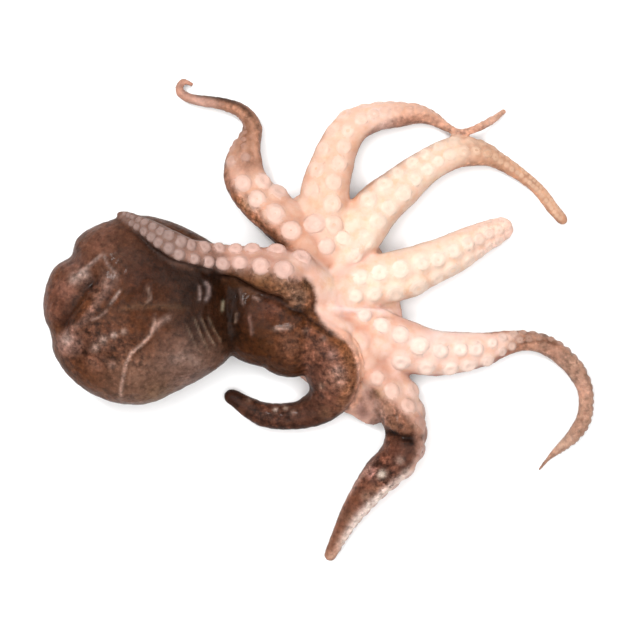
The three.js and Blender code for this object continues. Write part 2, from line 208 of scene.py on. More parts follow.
# uniform Catmull-Rom through the rows of points, at the parameters u
def splineAt(points, u):
    spans = len(points) - 1
    padded = np.vstack([2 * points[0] - points[1], points, 2 * points[-1] - points[-2]])
    i = np.minimum(u.astype(int), spans - 1)
    f = (u - i)[:, None]
    a, b, c, d = (padded[i + k] for k in range(4))
    return b + 0.5 * f * (c - a + f * (2 * a - 5 * b + 4 * c - d + f * (3 * b - a - 3 * c + d)))


# rows of vectors brought to length 1
def unit(v):
    return v / np.linalg.norm(v, axis=-1, keepdims=True)


# the sections of a limb at even steps: where each is, which way it runs and how large it is
def sectionsOf(limb):
    route = np.array(limb["route"], float)
    fine = splineAt(route, np.linspace(0, len(route) - 1, limbShape["fine"]))
    walked = np.concatenate([[0], np.cumsum(np.hypot(*np.diff(fine[:, :2], axis=0).T))])
    s = np.linspace(0, walked[-1], int(walked[-1] / limbShape["spacing"]))
    x, y, width, lift, roll = (np.interp(s, walked, fine[:, k]) for k in range(5))
    roll = np.radians(roll)
    thick = width * limb.get("thickness", limbShape["thickness"])
    oralHalf = thick * limbShape["oralShare"]
    skinHalf = thick - oralHalf
    below = np.where(np.cos(roll) > 0, skinHalf, oralHalf)
    drop = np.hypot(np.sin(roll) * width / 2, np.cos(roll) * below)
    centre = np.stack([x, y, lift + (1 - limbShape["sink"]) * drop], axis=1)
    travel = unit(np.stack([np.gradient(x, s), np.gradient(y, s), np.zeros_like(s)], axis=1))
    up = np.array([0.0, 0, 1])
    side = np.cross(travel, up)
    oral = np.cos(roll)[:, None] * up + np.sin(roll)[:, None] * side
    return {
        "s": s, "width": width, "centre": centre, "travel": travel, "oral": oral,
        "lateral": np.cross(travel, oral), "oralHalf": oralHalf, "skinHalf": skinHalf,
    }


# the point of section i at an angle from the lateral axis towards the suckers
def outlinePoint(sections, i, angle, shrink=1.0, forward=0.0):
    rise = math.sin(angle)
    half = sections["oralHalf"][i] if rise > 0 else sections["skinHalf"][i]
    across = sections["lateral"][i] * math.cos(angle) * sections["width"][i] / 2 * shrink
    return sections["centre"][i] + across + sections["oral"][i] * rise * half * shrink \
        + sections["travel"][i] * forward


for limb in limbs.values():
    limb["sections"] = sectionsOf(limb)

# The bag of the body, the flesh round the mouth and the web between the arms. Ball is the
# number of sides of the ball that each is shaped from, round it and from pole to pole.
mantle = {
    "centre": (-40.0, 1.9), "radius": 20.8, "middle": 7.2, "top": 18.0, "bottom": -0.9, "fullness": 0.86,
    "ball": (120, 72),
    # each bump of the outline is [angle, half width, height], angles in degrees, heights as shares of the
    # radius
    "bumps": [(32, 17, 0.09), (-26, 13, 0.08), (141, 7, -0.1), (-165, 8, -0.05), (-62, 17, -0.06)],
}
mouth = {"centre": (4.5, 6.5, 3.2), "halfSize": (9.5, 11.5, 6.5), "ball": (48, 32)}
web = {
    "centre": (4.5, 3.0), "height": 4.5, "middle": 0.5, "half": 0.7,  # middle and half in heights
    "ball": (96, 24), "fine": 900,  # fine is the points of the rim's smooth curve
    "rim": [
        (18.0, 2.5), (13.4, 15.4), (5.0, 26.6), (-5.5, 27.6), (-10.0, 17.0),
        (-12.0, 6.0), (-9.0, -8.0), (1.0, -17.0), (12.2, -23.8), (18.6, -12.5),
    ],
}


def mantleReach(angle):
    reach = np.ones_like(angle)
    for at, halfWidth, height in mantle["bumps"]:
        off = (angle - math.radians(at) + math.pi) % (2 * math.pi) - math.pi
        reach = reach + height * np.exp(-((off / math.radians(halfWidth)) ** 2))
    return mantle["radius"] * reach


# how far the web reaches from its centre at each angle
def webReach(angle):
    rim = np.array(web["rim"] * 3, float)
    curve = splineAt(rim, np.linspace(0, len(rim) - 1, web["fine"])) - np.array(web["centre"])
    turn = np.unwrap(np.arctan2(curve[:, 1], curve[:, 0]))
    order = np.argsort(turn)
    wanted = angle - 2 * math.pi * np.floor((angle - turn[order][0]) / (2 * math.pi)) + 2 * math.pi
    return np.interp(wanted, turn[order], np.hypot(curve[:, 0], curve[:, 1])[order])


def addBall(bm, around, over):
    made = bmesh.ops.create_uvsphere(bm, u_segments=around, v_segments=over, radius=1)["verts"]
    return made, np.array([v.co for v in made])


def moveTo(verts, places):
    for v, place in zip(verts, places):
        v.co = place


def addMantle(bm):
    verts, ball = addBall(bm, *mantle["ball"])
    level = np.minimum(np.hypot(ball[:, 0], ball[:, 1]), 1)
    angle = np.arctan2(ball[:, 1], ball[:, 0])
    reach = mantleReach(angle) * level ** mantle["fullness"]
    end = np.where(ball[:, 2] > 0, mantle["top"], mantle["bottom"])
    z = mantle["middle"] + (end - mantle["middle"]) * np.abs(ball[:, 2]) ** mantle["fullness"]
    x = mantle["centre"][0] + reach * np.cos(angle)
    y = mantle["centre"][1] + reach * np.sin(angle)
    moveTo(verts, np.stack([x, y, z], axis=1))


def addMouthAndWeb(bm):
    verts, ball = addBall(bm, *mouth["ball"])
    moveTo(verts, ball * np.array(mouth["halfSize"]) + np.array(mouth["centre"]))
    verts, ball = addBall(bm, *web["ball"])
    angle = np.arctan2(ball[:, 1], ball[:, 0])
    reach = webReach(angle) * np.minimum(np.hypot(ball[:, 0], ball[:, 1]), 1)
    x = web["centre"][0] + reach * np.cos(angle)
    y = web["centre"][1] + reach * np.sin(angle)
    moveTo(verts, np.stack([x, y, web["height"] * (web["middle"] + web["half"] * ball[:, 2])], axis=1))


# a limb is a ring drawn out along its sections, with a flat root and a round tip
def addLimb(bm, sections):
    angleOf = bm.verts.layers.float["angle"]
    ring = bmesh.ops.create_circle(bm, cap_ends=True, segments=limbShape["around"], radius=1)["verts"]
    for v in ring:
        v[angleOf] = math.atan2(v.co.y, v.co.x)
        v.co = outlinePoint(sections, 0, v[angleOf])
    edges = list(ring[0].link_faces[0].edges)
    last = len(sections["s"]) - 1
    tipRadius = sections["width"][last] / 2
    steps = [(i, 1.0, 0.0) for i in [*range(2, last, 2), last]]
    steps += [(last, math.cos(b), math.sin(b) * tipRadius) for b in limbShape["tipAngles"]]
    for i, shrink, forward in steps:
        grown = bmesh.ops.extrude_edge_only(bm, edges=edges)["geom"]
        edges = [g for g in grown if isinstance(g, bmesh.types.BMEdge)]
        for v in grown:
            if isinstance(v, bmesh.types.BMVert):
                v.co = outlinePoint(sections, i, v[angleOf], shrink, forward)
    bmesh.ops.contextual_create(bm, geom=edges)


def meshObject(name, bm):
    mesh = bpy.data.meshes.new(name)
    bm.to_mesh(mesh)
    bm.free()
    made = bpy.data.objects.new(name, mesh)
    bpy.context.scene.collection.objects.link(made)
    return made


def coordinates(mesh):
    flat = np.empty(len(mesh.vertices) * 3, np.float32)
    mesh.vertices.foreach_get("co", flat)
    return flat.reshape(-1, 3).astype(float)


def normals(mesh):
    flat = np.empty(len(mesh.vertices) * 3, np.float32)
    mesh.vertex_normals.foreach_get("vector", flat)
    return flat.reshape(-1, 3).astype(float)


# Marks (stains, and some painted glints and shadow), streaks and folds are placed as they show from straight
# above, from this height in millimetres.
seenFrom = 397.0


def asSeen(places):
    return places[:, :2] * (seenFrom / (seenFrom - places[:, 2:]))


# evens out a value per vertex with its neighbours along the edges
def relax(values, edges, rounds, factor=0.5):
    a, b = edges[:, 0], edges[:, 1]
    count = len(values)
    degree = np.maximum(np.bincount(a, minlength=count) + np.bincount(b, minlength=count), 1)
    columns = values.reshape(count, -1).copy()
    for _ in range(rounds):
        for k in range(columns.shape[1]):
            v = columns[:, k]
            total = np.bincount(a, v[b], count) + np.bincount(b, v[a], count)
            columns[:, k] = v + factor * (total / degree - v)
    return columns.reshape(values.shape)


# 0 at low, 1 at high, and a smooth step between
def smooth(low, high, values):
    t = np.clip((values - low) / (high - low), 0, 1)
    return t * t * (3 - 2 * t)


def mix(a, b, share):
    return a + (b - a) * share[:, None]


# 1 at the spot [x, y] of the picture from above, fading over the radius
def around(places, x, y, radius):
    seen = asSeen(places)
    return np.exp(-((seen[:, 0] - x) ** 2 + (seen[:, 1] - y) ** 2) / radius ** 2)


# The skin: the parts are fused by a fine voxel remesh, then relaxed, so that they flow into one another.
# Notches between them are evened out further, over [x, y, radius].
skinMesh = {"voxel": 0.45, "relaxRounds": 4, "notchRounds": 70,
            "notches": [(11.2, -18.4, 3.8), (-19.7, 5.0, 2.0), (-19.7, 2.0, 3.4), (-20.0, -2.8, 3.2)]}


def fuseSkin():
    bm = bmesh.new()
    bm.verts.layers.float.new("angle")
    addMantle(bm)
    addMouthAndWeb(bm)
    for limb in limbs.values():
        addLimb(bm, limb["sections"])
    bmesh.ops.scale(bm, vec=(mm, mm, mm), verts=bm.verts)
    rough = meshObject("roughFlesh", bm)
    fuse = rough.modifiers.new("fuse", "REMESH")
    fuse.mode = "VOXEL"
    fuse.voxel_size = skinMesh["voxel"] * mm
    graph = bpy.context.evaluated_depsgraph_get()
    mesh = bpy.data.meshes.new_from_object(rough.evaluated_get(graph))
    bpy.data.objects.remove(rough)
    mesh.name = "octopusSkin"
    skin = bpy.data.objects.new("octopusSkin", mesh)
    bpy.context.scene.collection.objects.link(skin)
    return skin


skin = fuseSkin()
edges = np.empty(len(skin.data.edges) * 2, np.int32)
skin.data.edges.foreach_get("vertices", edges)
edges = edges.reshape(-1, 2)


# puts places in millimetres into the skin's mesh, flat where it lies on the table
def setPlaces(places):
    places = places.copy()
    places[:, 2] = np.maximum(places[:, 2], 0)
    skin.data.vertices.foreach_set("co", (places * mm).astype(np.float32).ravel())
    skin.data.update()


# fills the notches between the parts
def evenOut(places):
    share = np.max([around(places, *notch) for notch in skinMesh["notches"]], axis=0)
    for _ in range(skinMesh["notchRounds"]):
        places = mix(places, relax(places, edges, 1), share)
    return places


places = evenOut(relax(coordinates(skin.data) / mm, edges, skinMesh["relaxRounds"]))
setPlaces(places)
print("skin fused:", len(places), "vertices")


# where each vertex lies in a limb's own terms: distance along it, across it and towards the suckers, with
# the surface at rho 1
def limbTerms(places, sections):
    centre = sections["centre"].astype(np.float32)
    nearest = np.empty(len(places), int)
    many = 20000  # vertices at a time, to spare memory
    for start in range(0, len(places), many):
        block = places[start:start + many].astype(np.float32)
        gaps = ((block[:, None, :] - centre[None]) ** 2).sum(axis=2)
        nearest[start:start + many] = gaps.argmin(axis=1)
    offset = places - sections["centre"][nearest]
    across = (offset * sections["lateral"][nearest]).sum(axis=1) / (sections["width"][nearest] / 2)
    rise = (offset * sections["oral"][nearest]).sum(axis=1)
    rise = rise / np.where(rise > 0, sections["oralHalf"][nearest], sections["skinHalf"][nearest])
    beyond = np.abs((offset * sections["travel"][nearest]).sum(axis=1)) - limbShape["spacing"]
    return {
        "s": sections["s"][nearest], "across": across, "rise": rise, "nearest": nearest,
        "rho": np.hypot(across, rise) + np.maximum(beyond, 0) / limbShape["endFade"],
    }


# how far out each vertex lies in the mantle's own terms, with its surface at rho 1
def mantleRho(places):
    offset = places[:, :2] - np.array(mantle["centre"])
    level = np.hypot(offset[:, 0], offset[:, 1]) / mantleReach(np.arctan2(offset[:, 1], offset[:, 0]))
    half = np.where(places[:, 2] > mantle["middle"], mantle["top"], mantle["bottom"]) - mantle["middle"]
    rise = (places[:, 2] - mantle["middle"]) / half
    return np.hypot(level ** (1 / mantle["fullness"]), np.abs(rise) ** (1 / mantle["fullness"]))


# the same for the mouth and the web, by the one that it lies deeper in
def mouthRho(places):
    ball = np.linalg.norm((places - np.array(mouth["centre"])) / np.array(mouth["halfSize"]), axis=1)
    offset = places[:, :2] - np.array(web["centre"])
    level = np.hypot(offset[:, 0], offset[:, 1]) / webReach(np.arctan2(offset[:, 1], offset[:, 0]))
    rise = (places[:, 2] / web["height"] - web["middle"]) / web["half"]
    return np.minimum(ball, np.hypot(level, rise))


# distance of each vertex from a line of [x, y] points, signed by the side (right of its travel is
# positive), and the share of the line's length at the nearest point
def lineTerms(places, line):
    line = np.array(line, float)
    lengths = np.hypot(*np.diff(line, axis=0).T)
    starts = np.concatenate([[0], np.cumsum(lengths)])
    best = np.full(len(places), 1e9)
    sign = np.ones(len(places))
    share = np.zeros(len(places))
    seen = asSeen(places)
    for k, length in enumerate(lengths):
        along = (line[k + 1] - line[k]) / length
        offset = seen - line[k]
        t = np.clip(offset @ along, 0, length)
        gap = np.hypot(*(offset - t[:, None] * along).T)
        closer = gap < best
        best = np.where(closer, gap, best)
        sign = np.where(closer, np.sign(offset[:, 0] * along[1] - offset[:, 1] * along[0]), sign)
        share = np.where(closer, (starts[k] + t) / starts[-1], share)
    return best * sign, share


# The edge of the brown web beside the mouth, from the folded arm down: pale flesh lies to the left of its
# travel.
webEdge = [
    (-4.4, 10.3), (-1.6, 7.8), (-0.7, 4.7), (-1.0, 2.2), (0.2, -0.3), (3.2, -2.8), (6.1, -5.0), (7.7, -8.0),
    (8.6, -11.9), (8.3, -15.5), (6.2, -20.2),
]

# Zones of the mantle's upper side that have a colour of their own: [x, y, radius, hex]. Most are the skin's
# own colour, but the near-black zone at (-28, 7), beside the neck under the folded arm, is painted shadow,
# the greyish one at (-30, -11) on the lower right is a painted sheen, and the pale one at (-56, -5.4) among
# the warts is a painted glint. The weights say how they are averaged with the base colour, and under is the
# colour of the underside.
mantleColours = {
    "base": "#532f1b", "baseWeight": 0.6, "zoneWeight": 2.5, "pigment": 0.95,
    "under": "#7a5849",
    "zones": [
        (-60.0, 4.8, 2.6, "#623a2b"), (-59.6, 1.6, 1.8, "#774c3c"), (-57.2, 6.4, 1.8, "#7d5548"),
        (-57.0, 0, 1.6, "#3a2017"), (-54.8, 12.6, 2.4, "#6b483c"), (-48.5, 17.6, 3.0, "#6c483a"),
        (-42, 16, 4.0, "#492e23"), (-36, 12, 4.5, "#1f0d06"), (-40.5, 9.5, 3.0, "#3d2015"),
        # painted shadow: the near-black zone at (-28, 7), under the folded arm beside the neck
        (-34, 6, 2.2, "#452a1e"), (-28, 7, 5.5, "#060201"), (-27, -2, 3.2, "#180b06"),
        # painted sheen: the greyish zone at (-30, -11) on the lower right
        (-30, -11, 5.5, "#7c5f53"), (-40, -15, 6.0, "#775747"), (-49, -4.0, 4.5, "#4b2f23"),
        (-24, -8, 2.0, "#4e382d"), (-51.6, 7.6, 1.6, "#4d3228"), (-47.6, 8.6, 1.8, "#5f443a"),
        # painted glint: the pale zone at (-56, -5.4) among the warts
        (-38, 3, 4.0, "#422313"), (-40, -5, 4.0, "#4c2a18"), (-56.0, -5.4, 1.8, "#9a7468"),
        (-50.0, -9.4, 1.6, "#7c5443"), (-36, -18, 3.0, "#7d5f45"),
    ],
}

# Local marks of the upper side, by part: [x, y, radius, strength, hex, pigment]. Most are stains of the
# skin, but the pale patches round the mantle's V and the pale spots on its warts are painted glints, the pale
# spot at (13.7, -34.6) on the bottom arm is a painted highlight, and the dark spot at (-23, 9.5) under the
# folded arm's edge is painted shadow.
marks = {
    "mantle": [
        # painted glints: the pale mauve patches round the V, on this line and the next two
        (-55.0, 9.0, 1.2, 0.7, "#a88c80", 0.8), (-53.0, 10.2, 1.1, 0.75, "#ab9085", 0.8),
        (-51.8, 7.6, 1.1, 0.7, "#38221a", 1), (-48.0, 8.0, 1.0, 0.4, "#8c7064", 1),
        (-46.2, 10.0, 0.9, 0.35, "#7c5e52", 1), (-50.0, 5.2, 1.0, 0.35, "#7a5e52", 1),
        (-49.3, 8.6, 0.8, 0.5, "#4c3127", 1), (-47.0, 5.0, 1.4, 0.6, "#452a21", 1),
        (-50.0, 17.2, 1.6, 0.6, "#4e3024", 1), (-34.2, -5.8, 1.8, 0.45, "#452a1e", 1),
        # painted glints: the pale spots on the warts, from here to the end of the list
        (-46.2, -3.6, 0.7, 0.7, "#a98f83", 1), (-48.6, -4.6, 0.8, 0.7, "#a58a7d", 1),
        (-44.0, -2.8, 0.6, 0.6, "#a08679", 1), (-47.4, -2.6, 0.8, 0.6, "#2c1810", 1),
        (-43.2, -4.8, 0.8, 0.6, "#30190f", 1), (-52.4, -7.6, 0.8, 0.6, "#2e1810", 1),
        (-50.3, -6.4, 0.9, 0.5, "#a1887c", 1), (-47.2, -7.0, 0.8, 0.6, "#2e1911", 1),
        (-52.0, -5.0, 0.8, 0.6, "#301b13", 1), (-45.2, -5.2, 0.8, 0.5, "#331c13", 1),
        (-49.0, -9.0, 0.9, 0.5, "#32201a", 1), (-46.6, -10.2, 0.8, 0.4, "#97796c", 1),
        (-56.6, -4.6, 1.1, 0.7, "#b89c90", 0.8),
    ],
    "neck": [
        (-19.5, 5.0, 3.4, 0.92, "#170802", 1), (-19.3, 0.5, 3.4, 0.92, "#170802", 1),
        # painted shadow: the dark spot at (-23, 9.5) under the folded arm's edge; the others are the neck's
        # dark skin
        (-19.5, -4.0, 3.2, 0.9, "#190c05", 1), (-23.0, 9.5, 2.0, 0.8, "#0f0704", 1),
    ],
    "head": [
        (-11.0, 2.5, 3.0, 0.45, "#74493c", 1), (-6.8, -6.4, 3.4, 0.65, "#6e4836", 1),
        (-0.4, -8.0, 2.4, 0.6, "#7d5341", 1), (-15.6, 0.2, 2.2, 0.4, "#3c2117", 1),
        (-5.0, 0.6, 0.8, 0.6, "#2c1309", 1), (-8.7, 0.6, 0.9, 0.5, "#2f160e", 1),
        (-12.0, -5.5, 2.6, 0.4, "#4a2c17", 1), (-2.8, -4.3, 2.4, 0.5, "#54301c", 1),
        (-1.2, -12.0, 2.4, 0.55, "#351b13", 1), (-0.9, -15.0, 1.5, 0.7, "#241009", 1),
    ],
    "flank of the folded arm": [
        (-6.2, 12.4, 1.7, 0.5, "#f2cdbc", 0), (-18.0, 9.4, 1.8, 0.5, "#4a3020", 1),
        (-13.0, 9.2, 1.8, 0.5, "#6f4d2c", 1), (-8.6, 8.0, 1.8, 0.5, "#94694a", 1),
        (-5.0, 5.2, 2.4, 0.6, "#94735f", 1), (-2.6, 7.6, 1.1, 0.6, "#5b4128", 1),
    ],
    "web": [
        (2.6, -8.0, 1.0, 0.6, "#a88478", 1), (3.9, -11.5, 1.1, 0.65, "#a88a7f", 0.8),
        (4.6, -14.2, 0.9, 0.55, "#9a7a6c", 1), (0.6, -4.3, 0.8, 0.5, "#97766a", 1),
        (0.3, -14.9, 0.6, 0.6, "#a3806c", 1), (-3.4, -2.6, 0.6, 0.5, "#9c7a6a", 1),
        (6.7, -8.5, 2.2, 0.5, "#8d5d40", 1), (6.9, -16.2, 1.7, 0.6, "#a86f4c", 1),
        (5.2, -19.2, 1.4, 0.65, "#a87254", 1), (3.8, -13.0, 2.6, 0.55, "#9b7361", 1),
        (0.4, -9.0, 1.5, 0.5, "#452519", 1),
    ],
    "curled arm": [
        (-10.1, -20.2, 0.45, 0.8, "#c9b0a1", 0.5), (-7.8, -19.8, 0.45, 0.7, "#bfa492", 0.5),
        (-16.0, -18.0, 0.6, 0.5, "#a98673", 0.7), (-6.3, -20.7, 0.6, 0.5, "#a07c6c", 0.8),
        (-1.6, -20.5, 2.0, 0.4, "#4a2d22", 1), (1.2, -20.9, 1.3, 0.55, "#8e644c", 1),
        (-15.5, -19.6, 3.2, 0.6, "#2e1a10", 1), (-8.4, -22.5, 1.6, 0.5, "#2c180f", 1),
        (-19.4, -17.4, 2.2, 0.75, "#2a160e", 1),
    ],
    "root of the bottom arm": [
        (13.6, -21.4, 1.8, 0.8, "#aa8272", 0.7), (15.0, -19.8, 1.6, 0.6, "#b88a72", 0.5),
        (8.3, -17.8, 2.0, 0.8, "#9c7266", 0.6), (9.6, -20.6, 2.2, 0.9, "#7a5045", 0.5),
        (12.2, -23.0, 1.7, 0.8, "#5a3c32", 0.9), (12.2, -19.0, 1.5, 0.85, "#be9585", 0.25),
        (10.6, -16.4, 0.9, 0.6, "#8e6455", 0.6), (13.5, -16.2, 1.4, 0.6, "#c69c7c", 0.3),
        (17.2, -21.8, 2.2, 0.6, "#7e5641", 0.8), (17.0, -12.0, 2.2, 0.85, "#f6cdbf", 0),
        (17.4, -15.6, 1.8, 0.8, "#f0cbb8", 0), (20.6, -16.2, 2.4, 0.85, "#f9d8cc", 0),
        (21.8, -19.8, 1.8, 0.9, "#fcdccf", 0), (19.4, -18.4, 1.4, 0.5, "#dcb49a", 0.1),
        (19.4, -24.4, 1.8, 0.8, "#7a523e", 0.9), (20.6, -21.8, 1.2, 0.7, "#d4a28c", 0.2),
        (21.6, -24.0, 1.2, 0.6, "#94705a", 0.7), (16.0, -24.2, 1.6, 0.7, "#74523f", 1),
        (12.5, -5.5, 1.5, 0.4, "#f2bfa4", 0), (11.0, -8.6, 1.9, 0.9, "#c88d77", 0),
        (10.6, -12.4, 1.6, 0.6, "#c98e7c", 0), (14.6, -13.4, 1.8, 0.45, "#cf9884", 0.1),
        (11.8, -10.4, 1.6, 0.4, "#d39c88", 0),
    ],
    "bottom arm": [
        (16.5, -29.5, 2.2, 0.5, "#643b2e", 1), (19.6, -29.8, 2.2, 0.75, "#4e3025", 1),
        (20.2, -27.6, 1.7, 0.9, "#0e0603", 1), (17.0, -31.2, 1.3, 0.6, "#54342a", 1),
        (12.4, -32.8, 1.6, 0.6, "#523229", 1), (12.0, -36.0, 1.2, 0.6, "#452a20", 1),
        (3.8, -51.0, 1.4, 0.5, "#c09883", 0.5), (2.4, -53.0, 1.1, 0.6, "#cfa791", 0.4),
        # painted highlight: the pale spot at (13.7, -34.6)
        (17.8, -31.6, 0.9, 0.6, "#a0877a", 0.8), (13.7, -34.6, 0.9, 0.85, "#dccbbb", 0.4),
        (15.7, -35.2, 0.8, 0.8, "#28140d", 1), (12.2, -37.2, 1.1, 0.8, "#2d1810", 1),
        (18.6, -33.5, 0.8, 0.7, "#30190f", 1), (14.2, -33.0, 0.9, 0.7, "#382016", 1),
        (11.0, -34.2, 1.2, 0.6, "#b6857a", 0.8), (7.6, -40.2, 1.3, 0.6, "#58301b", 1),
        (12.4, -38.2, 1.1, 0.7, "#94664f", 0.9), (10.2, -39.6, 1.1, 0.6, "#a07c68", 0.9),
        (5.8, -44.2, 1.6, 0.4, "#a37a62", 0.9), (3.8, -48.4, 1.4, 0.3, "#b48d76", 0.8),
        (22.4, -26.3, 0.9, 0.85, "#5e3c2e", 0.9), (23.2, -27.9, 0.6, 0.7, "#dbb5a2", 0.2),
        (22.4, -29.6, 0.9, 0.85, "#5e3c2e", 0.9), (21.4, -31.4, 0.7, 0.6, "#dcb6a4", 0.2),
        (20.2, -31.8, 0.7, 0.5, "#3c2218", 1),
    ],
    "upper left arm": [
        (-11.6, 17.6, 1.4, 0.85, "#38211a", 1), (-8.2, 20.3, 1.6, 0.7, "#935430", 1),
        (-16.5, 25.8, 1.4, 0.5, "#8d6a4a", 1), (-18.5, 31.4, 2.0, 0.45, "#cfa296", 0.2),
        (-16.5, 35.4, 2.8, 0.7, "#966c5a", 0.8), (-21.4, 34.8, 0.7, 0.7, "#56423a", 1),
        (-15.1, 34.9, 0.9, 0.5, "#80533e", 0.7), (-26.4, 48.2, 3.4, 0.85, "#cba192", 0.3),
        (-4.8, 19.0, 2.2, 0.8, "#c98d6e", 0.1), (-18.4, 44.0, 2.6, 0.5, "#96684f", 0.9),
        (-31.0, 51.0, 3.0, 0.6, "#c99b8a", 0.4),
    ],
    "mouth and the pale arms' roots": [
        (2.2, 8.2, 1.8, 0.5, "#f6d0ab", 0), (8.0, 26.4, 1.9, 0.75, "#ecb094", 0),
        (-1.5, 32.8, 1.2, 0.6, "#dc9f7e", 0), (17.6, 33.0, 0.7, 0.5, "#cd9272", 0.2),
        (3.8, 8.8, 1.0, 0.6, "#e4a592", 0), (12.6, 15.2, 1.2, 0.6, "#e9b69e", 0),
        (9.4, 11.0, 1.3, 0.5, "#efb99b", 0), (19.4, 6.0, 1.4, 0.5, "#efb698", 0),
        (14.5, 4.4, 2.0, 0.4, "#f4c1ae", 0), (8.5, 14.8, 2.2, 0.5, "#f7d6cf", 0),
        (6.6, 23.0, 1.3, 0.5, "#f0c39d", 0), (11.6, -2.4, 1.2, 0.5, "#eeb79c", 0),
        (3.2, -0.6, 1.6, 0.5, "#f0c4b4", 0), (13.0, 45.6, 3.2, 0.6, "#f6dfd7", 0),
        (38.4, 44.4, 2.4, 0.5, "#dfbaa8", 0.2),
    ],
    "right arm": [
        (52.5, -7.0, 2.6, 0.4, "#8d6050", 1), (57.9, -15.8, 1.8, 0.55, "#dca893", 0.3),
        (59.2, -21.0, 0.4, 0.7, "#6b4030", 1), (58.5, -22.6, 0.4, 0.7, "#6b4030", 1),
        (54.0, -27.4, 2.2, 0.7, "#c9a692", 0.4), (26.0, -3.3, 2.6, 0.55, "#f9e3dd", 0),
        (32.5, -3.8, 2.4, 0.4, "#f7ddd4", 0),
    ],
}

# Where the brown skin is mottled most: [x, y, radius, strength], on top of the usual strength.
mottles = {
    "usual": 0.55,
    "zones": [
        (-51.0, -4.5, 6.5, 0.8), (-51.5, 6.5, 4.0, 0.6), (4.5, -12.0, 7.0, 0.6), (-12.0, -21.0, 6.0, 0.7),
        (-6.0, 6.0, 5.0, 0.7), (-4.0, -5.0, 5.0, 0.6), (16.5, -22.0, 5.0, 0.4), (13.5, -35.0, 4.5, 0.9),
        (-15.5, 25.0, 5.0, 0.7), (-43.0, -7.0, 4.0, 0.5),
    ],
}


def paintMantle(places, up):
    weight = np.full(len(places), mantleColours["baseWeight"])
    tone = np.outer(weight, linear(mantleColours["base"]))
    for x, y, radius, hexColour in mantleColours["zones"]:
        w = around(places, x, y, radius) * mantleColours["zoneWeight"]
        tone += np.outer(w, linear(hexColour))
        weight += w
    tone = mix(linear(mantleColours["under"]), tone / weight[:, None], up)
    return mantleRho(places), tone, np.ones(len(places)) * mantleColours["pigment"]


# The flesh round the mouth and the brown skin under it, and the two sides of the web's edge. Blend is how
# wide neighbouring parts run into one another and yield how far the mouth gives way to the arms, in their
# own radii.
webColours = {
    "crown": "#edbfae", "under": "#9a6c57", "edgeBrown": "#6e4228", "edgePale": "#efc3b2",
    "blend": 0.09, "yield": 0.02,
}


# the colour of each vertex and how strongly its skin is pigmented, by the part that it belongs to
def paintSkin(places, facing):
    up = smooth(-0.35, 0.15, facing[:, 2])
    gap, share = lineTerms(places, webEdge)
    paleSide = smooth(0.3, -0.3, gap)
    crownTone = np.tile(linear(webColours["crown"]), (len(places), 1))
    webUp = smooth(-0.6, -0.1, facing[:, 2])
    crown = mix(linear(webColours["under"]), crownTone, webUp)
    parts = [paintMantle(places, up), (mouthRho(places) + webColours["yield"], crown, 1 - webUp)]

    for limb in limbs.values():
        terms = limbTerms(places, limb["sections"])
        length = limb["sections"]["s"][-1]
        side = smooth(-0.5, 0.5, terms["across"])
        stations, left, right = np.array(limb["brown"], float).T
        left, right = (np.interp(terms["s"] / length, stations, flank) for flank in (left, right))
        limit = left + (right - left) * side
        angleRise = terms["rise"] / np.maximum(np.hypot(terms["rise"], terms["across"]), 1e-6)
        pigment = 1 - smooth(limit - 0.28, limit + 0.06, angleRise)
        tone = mix(linear(limb["flesh"]), linear(limb["skin"]), pigment)
        tipShare = smooth(limb["tipFrom"] - 0.1, limb["tipFrom"] + 0.15, terms["s"] / length)
        tipTone = mix(linear(limb["tip"]), linear(limb["skin"]), 0.35 * pigment)
        if "tipUnder" in limb:
            tipTone = mix(tipTone, linear(limb["tipUnder"]), 1 - up)
        tone = mix(tone, tipTone, tipShare)
        if "root" in limb:
            rootShare = smooth(0.3, 0.1, terms["s"] / length) * (1 - pigment)
            tone = mix(tone, linear(limb["root"]), rootShare)
        pigment = np.maximum(pigment, 0.45 * tipShare)
        if limb is limbs["head"]:
            tone, pigment = mix(tone, crownTone, paleSide), pigment * (1 - paleSide)
        parts.append((terms["rho"], tone, pigment))
        limb["terms"] = terms

    nearest = np.min([rho for rho, _, _ in parts], axis=0)
    weights = [np.exp(-((rho - nearest) / webColours["blend"]) ** 2) for rho, _, _ in parts]
    total = np.sum(weights, axis=0)
    tone = sum(w[:, None] * t for w, (_, t, _) in zip(weights, parts)) / total[:, None]
    pigment = sum(w * p for w, (_, _, p) in zip(weights, parts)) / total

    nearEdge = smooth(3.8, 2.0, np.abs(gap)) * smooth(0.1, 0.5, facing[:, 2]) * (places[:, 2] > 3)
    inside = smooth(0, 0.05, share) * smooth(1, 0.95, share)
    edgeTone = mix(linear(webColours["edgeBrown"]), linear(webColours["edgePale"]), paleSide)
    tone = mix(tone, edgeTone, nearEdge * inside)
    pigment = pigment + (1 - paleSide - pigment) * nearEdge * inside

    tone, pigment = relax(tone, edges, 3), relax(pigment, edges, 2)
    # stains, painted glints and painted shadow are blended onto the upper side
    for x, y, radius, strength, hexColour, markPigment in [mark for group in marks.values() for mark in group]:
        w = strength * around(places, x, y, radius) * up
        tone = mix(tone, linear(hexColour), w)
        pigment = pigment + (markPigment - pigment) * w
    return tone, pigment


def mottling(places):
    strength = np.full(len(places), mottles["usual"])
    for x, y, radius, more in mottles["zones"]:
        strength += more * around(places, x, y, radius)
    return strength


facing = normals(skin.data)
tone, pigment = paintSkin(places, facing)
mottled = mottling(places)
print("skin painted")
